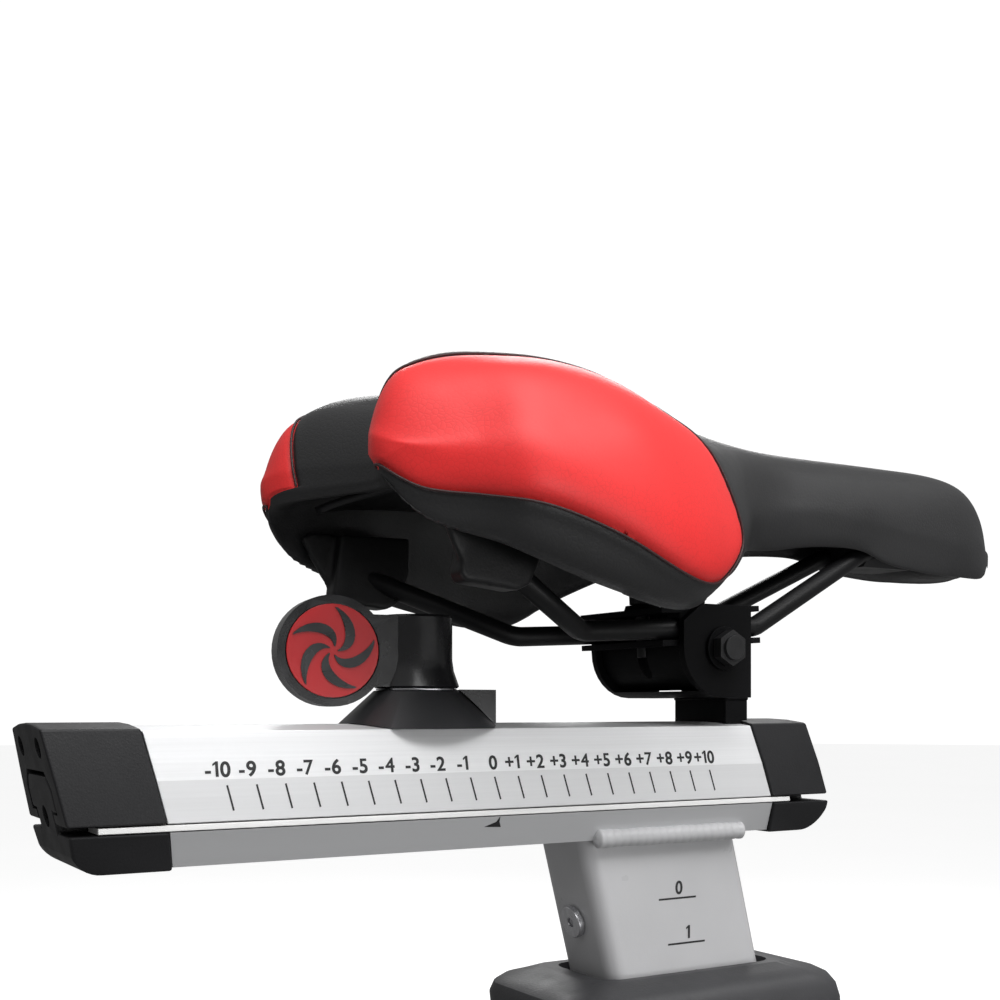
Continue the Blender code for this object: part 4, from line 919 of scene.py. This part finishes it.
def lettering(name, entries, size, stretch, look):
    """Numerals as one thin raised mesh; an entry is a text, its baseline's centre, right and up."""
    builder = bmesh.new()
    space = 0.085 * size
    for text, base_point, right, up in entries:
        pieces = [glyph(char, size) for char in text]
        pen = -(sum(width for _, width in pieces) + space * (len(pieces) - 1)) / 2
        out = right.cross(up)
        for piece, width in pieces:
            for v in piece.verts:
                local_x = (v.co.x + pen) * stretch
                v.co = spot(*(base_point + right * local_x + up * v.co.y + out * (v.co.z + 0.02)))
            mesh = bpy.data.meshes.new("character")
            piece.to_mesh(mesh)
            piece.free()
            builder.from_mesh(mesh)
            bpy.data.meshes.remove(mesh)
            pen += width + space
    bmesh.ops.recalc_face_normals(builder, faces=builder.faces)
    return new_object(name, builder, look)


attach(scale_ticks(), "carriage")
facet_up = Vector((0, FOLD[0] - CROWN_EDGE[0], CROWN_EDGE[1] - FOLD[1])).normalized()
labels = []
for n in range(-10, 11):
    text = f"{n:+d}" if n else "0"
    base_x = n * TICK - (2.6 if n < 0 else 1.9 if n else 0.3)
    labels.append((text,
                   on_facet(base_x, CROWN_EDGE, FOLD, (-19.5 - CROWN_EDGE[1]) / (FOLD[1] - CROWN_EDGE[1]),
                            0.04),
                   Vector((1, 0, 0)), facet_up))
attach(lettering("scale_numerals", labels, 6.1, 1.0, "ink"), "carriage")


def pointer():
    """Printed index on the lower rail, below the scale."""
    builder = bmesh.new()
    high, low = (23.1, -34.3), (17.5, -44.5)
    down = Vector((0, -(low[0] - high[0]), low[1] - high[1])).normalized()
    normal = Vector((0, down.z, -down.y))
    reach = 5.2 / 10.2               # the mark's share of the facet's depth
    outline = [(1.1, 0.0), (1.4, 0.34), (2.4, 0.68), (-3.7, 0.62), (0.2, 0.34)]
    flat = [on_facet(x, high, low, drop * reach, 0.0) for x, drop in outline]
    bottom = [builder.verts.new(spot(*(p - normal * 0.02))) for p in flat]
    top = [builder.verts.new(spot(*(p + normal * 0.06))) for p in flat]
    builder.faces.new(top)
    builder.faces.new(list(reversed(bottom)))
    for i in range(5):
        j = (i + 1) % 5
        builder.faces.new((bottom[i], bottom[j], top[j], top[i]))
    bmesh.ops.recalc_face_normals(builder, faces=builder.faces)
    return new_object("scale_pointer", builder, "ink")


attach(pointer(), "post")


def post_marks():
    builder = bmesh.new()
    entries = []
    face_y = -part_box("seat_post")[1].y / MM
    for n in range(10):
        z = -66.7 - 15.9 * n
        x = 77.7 - 0.253 * (z + 66.7)
        strip_between(builder, Vector((x - 8.2, face_y, z)), Vector((x + 8.2, face_y, z)), 0.33,
                      Vector((0, -1, 0)))
        entries.append((str(n), Vector((x + 0.6, face_y - 0.04, z + 1.5)), Vector((1, 0, 0)),
                        Vector((0, 0, 1))))
    bmesh.ops.recalc_face_normals(builder, faces=builder.faces)
    lines = new_object("post_mark_lines", builder, "ink")
    numerals = lettering("post_mark_numerals", entries, 6.4, 1.0, "ink")
    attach(lines, "post")
    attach(numerals, "post")


post_marks()


# ---------------------------------------------------------------- lever inlay
def inlay(name, centre, right, up, out, radius, count):
    """Black curved blades raised on a red disc."""
    builder = bmesh.new()
    for k in range(count):
        turn = 2 * math.pi * k / count
        edge_a, edge_b = [], []
        for i in range(13):
            t = i / 12
            r = radius * (0.10 + 0.86 * t)
            swirl = turn + 1.5 * t
            half = 0.36 * math.sin(math.pi * min(1.0, 0.12 + 0.84 * t)) * (1 - 0.35 * t)
            edge_a.append((r * math.cos(swirl - half), r * math.sin(swirl - half)))
            edge_b.append((r * math.cos(swirl + half), r * math.sin(swirl + half)))
        for (a, b, c, d) in zip(edge_a, edge_a[1:], edge_b[1:], edge_b):
            corners = [centre + right * u + up * v for u, v in (a, b, c, d)]
            low = [builder.verts.new(spot(*p)) for p in corners]
            high = [builder.verts.new(spot(*(p + out * 0.35))) for p in corners]
            builder.faces.new(high)
            builder.faces.new(list(reversed(low)))
            for i in range(4):
                j = (i + 1) % 4
                builder.faces.new((low[i], low[j], high[j], high[i]))
    bmesh.ops.remove_doubles(builder, verts=builder.verts, dist=0.000002)
    seen = {}
    for face in list(builder.faces):
        key = frozenset(face.verts)
        if key in seen or len(key) < 3:
            builder.faces.remove(face)
            if key in seen and seen[key].is_valid:
                builder.faces.remove(seen[key])
        else:
            seen[key] = face
    bmesh.ops.recalc_face_normals(builder, faces=builder.faces)
    return new_object(name, builder, "lever")


def plate_frame(node, direction):
    """Centre and outward normal of a flat disc node, in the reference."""
    low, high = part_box(node)
    middle = (low + high) / 2
    return Vector(local(middle)), direction.normalized()


LEVER_HEADING = 169.6            # degrees from +X to the lever's disc, seen from above
POST_LEAN = 0.253                # how far the post leans back per millimetre of height

arm_turn = math.radians(LEVER_HEADING)
arm_along = Vector((math.cos(arm_turn), math.sin(arm_turn), 0))
arm_out = Vector((-arm_along.y, arm_along.x, 0))
badge_centre, badge_out = plate_frame("lever_badge", arm_out)
half_thick = 0.5
badge_face = badge_centre + badge_out * half_thick
badge_right = Vector((0, 0, 1)).cross(badge_out)
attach(inlay("lever_inlay", badge_face, badge_right, Vector((0, 0, 1)), badge_out, 14.0, 5),
        "fore_aft_lever")

lean = math.atan(POST_LEAN)
tube_up = Vector((-math.sin(lean), 0, math.cos(lean)))
tube_back = Vector((-math.cos(lean), 0, -math.sin(lean)))
height_centre, height_out = plate_frame("height_lock_badge", tube_back)
height_face = height_centre + height_out * 0.3
height_right = tube_up.cross(height_out)
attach(inlay("height_lever_inlay", height_face, height_right, tube_up, height_out, 13.4, 5),
        "height_lever")


# ---------------------------------------------------------------- weld beads
WELD_STEPS, WELD_RADIUS = 150, 3.3


def weld_ripple(i):
    """Share of the bead's radius at a step: ripples along it, and both ends rounded off."""
    ripple = 0.90 + 0.06 * abs(math.sin(i * 0.42)) + 0.03 * math.sin(i * 0.17)
    past_end = max(0.0, abs(i - WELD_STEPS / 2) / (WELD_STEPS / 2) - 0.96) / 0.045
    return ripple * math.sqrt(max(0.08, 1 - past_end))


def weld(side):
    """Bead between the post and the lower rail, on one side."""
    label = "left" if side > 0 else "right"
    low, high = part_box(f"weld_bead_{label}")
    middle = (low + high) / 2
    start, end = low.x + 2.0 * MM, high.x - 2.0 * MM
    path = [Vector((start + (end - start) * i / WELD_STEPS, middle.y, middle.z))
            for i in range(WELD_STEPS + 1)]
    bead = tube(f"weld_{label}", path, WELD_RADIUS * MM, "weld", 20, weld_ripple)
    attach(bead, "post")
    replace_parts(bead, f"weld_bead_{label}")


weld(1)
weld(-1)


def stem_weld():
    """Fillet weld between the stem and the clamp bracket."""
    low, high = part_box("stem_bar")
    z = high.z + 0.1 * MM
    corner = 1.0 * MM
    corners = []
    for turn, (sx, sy) in enumerate(((1, 1), (-1, 1), (-1, -1), (1, -1))):
        for i in range(5):
            angle = math.radians(90 * turn + 22.5 * i)
            corners.append(Vector((
                (high.x if sx > 0 else low.x) - sx * corner + corner * math.cos(angle),
                (high.y if sy > 0 else low.y) - sy * corner + corner * math.sin(angle), z)))
    path = []
    for a, b in zip(corners, corners[1:] + corners[:1]):
        steps = max(1, round((b - a).length / (0.8 * MM)))
        path += [a.lerp(b, i / steps) for i in range(steps)]
    path.append(path[0] + (path[1] - path[0]) * 0.5)
    bead = tube("stem_weld", path, 0.75 * MM, "clamp", 10, lambda i: 0.92 + 0.08 * math.sin(i * 1.3))
    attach(bead, "carriage")


stem_weld()


# ---------------------------------------------------------------- studio
def area_light(name, location, target, size, power, colour=(1, 1, 1)):
    data = bpy.data.lights.new(name, "AREA")
    data.shape = "RECTANGLE"
    data.size, data.size_y = size
    data.energy = power
    data.color = colour
    obj = bpy.data.objects.new(name, data)
    obj.location = location
    obj.rotation_euler = (Vector(target) - Vector(location)).to_track_quat("-Z", "Y").to_euler()
    scene.collection.objects.link(obj)


def studio():
    builder = bmesh.new()
    bmesh.ops.create_circle(builder, cap_ends=True, segments=64, radius=12.0)
    floor_mesh = bpy.data.meshes.new("floor")
    builder.to_mesh(floor_mesh)
    builder.free()
    floor = bpy.data.objects.new("floor", floor_mesh)
    scene.collection.objects.link(floor)
    t = Tree("floor_paint")
    seen = t.nodes.new("ShaderNodeLightPath").outputs["Is Camera Ray"]
    pale = t.mix(t.range(t.noise(2.0, 3), 0.3, 0.7, 0.0, 1.0), (0.56, 0.56, 0.56), (0.58, 0.58, 0.58))
    t.finish(t.mix(seen, (0.12, 0.12, 0.12), pale), 0.8)
    t.shader.inputs["Emission Color"].default_value = (1, 1, 1, 1)
    t.link(t.range(seen, 0.0, 1.0, 0.06, 0.66), t.shader.inputs["Emission Strength"])
    floor.data.materials.append(t.material)

    world = bpy.data.worlds.new("studio")
    scene.world = world
    world.use_nodes = True
    tree = world.node_tree
    background = tree.nodes["Background"]
    ray = tree.nodes.new("ShaderNodeLightPath")
    position = tree.nodes.new("ShaderNodeTexCoord")
    split = tree.nodes.new("ShaderNodeSeparateXYZ")
    ramp = tree.nodes.new("ShaderNodeMapRange")
    ramp.inputs["From Min"].default_value = -0.3
    ramp.inputs["From Max"].default_value = 0.9
    ramp.inputs["To Min"].default_value = 0.03
    ramp.inputs["To Max"].default_value = 0.55
    pick = tree.nodes.new("ShaderNodeMix")
    tree.links.new(position.outputs["Generated"], split.inputs[0])
    tree.links.new(split.outputs["Z"], ramp.inputs["Value"])
    tree.links.new(ray.outputs["Is Camera Ray"], pick.inputs["Factor"])
    tree.links.new(ramp.outputs["Result"], pick.inputs[2])
    pick.inputs[3].default_value = 1.05
    tree.links.new(pick.outputs[0], background.inputs["Strength"])
    background.inputs["Color"].default_value = (1, 1, 1, 1)

    centre = spot(20, 0, 20)
    area_light("key", centre + Vector((-0.10, -0.9, 1.35)), centre, (1.4, 1.2), 24)
    area_light("front", centre + Vector((0.75, -1.05, 0.95)), centre, (0.9, 0.45), 5.5)
    area_light("rim", centre + Vector((0.72, 1.1, 0.95)), centre, (0.9, 0.4), 10)
    area_light("bounce", centre + Vector((0.25, -1.2, -0.30)), centre, (1.2, 0.5), 5.5)


studio()
camera_data = bpy.data.cameras.new("camera")
camera_data.lens = 46.8
camera_data.sensor_width = 36
camera_data.shift_y = 0.207
camera_data.clip_start = 0.01
camera = bpy.data.objects.new("camera", camera_data)
camera.location = spot(-208.16, -373.23, 0)
camera.rotation_euler = (math.radians(90), 0, math.radians(-30.853))
scene.collection.objects.link(camera)
scene.camera = camera
scene.view_settings.view_transform = "Standard"
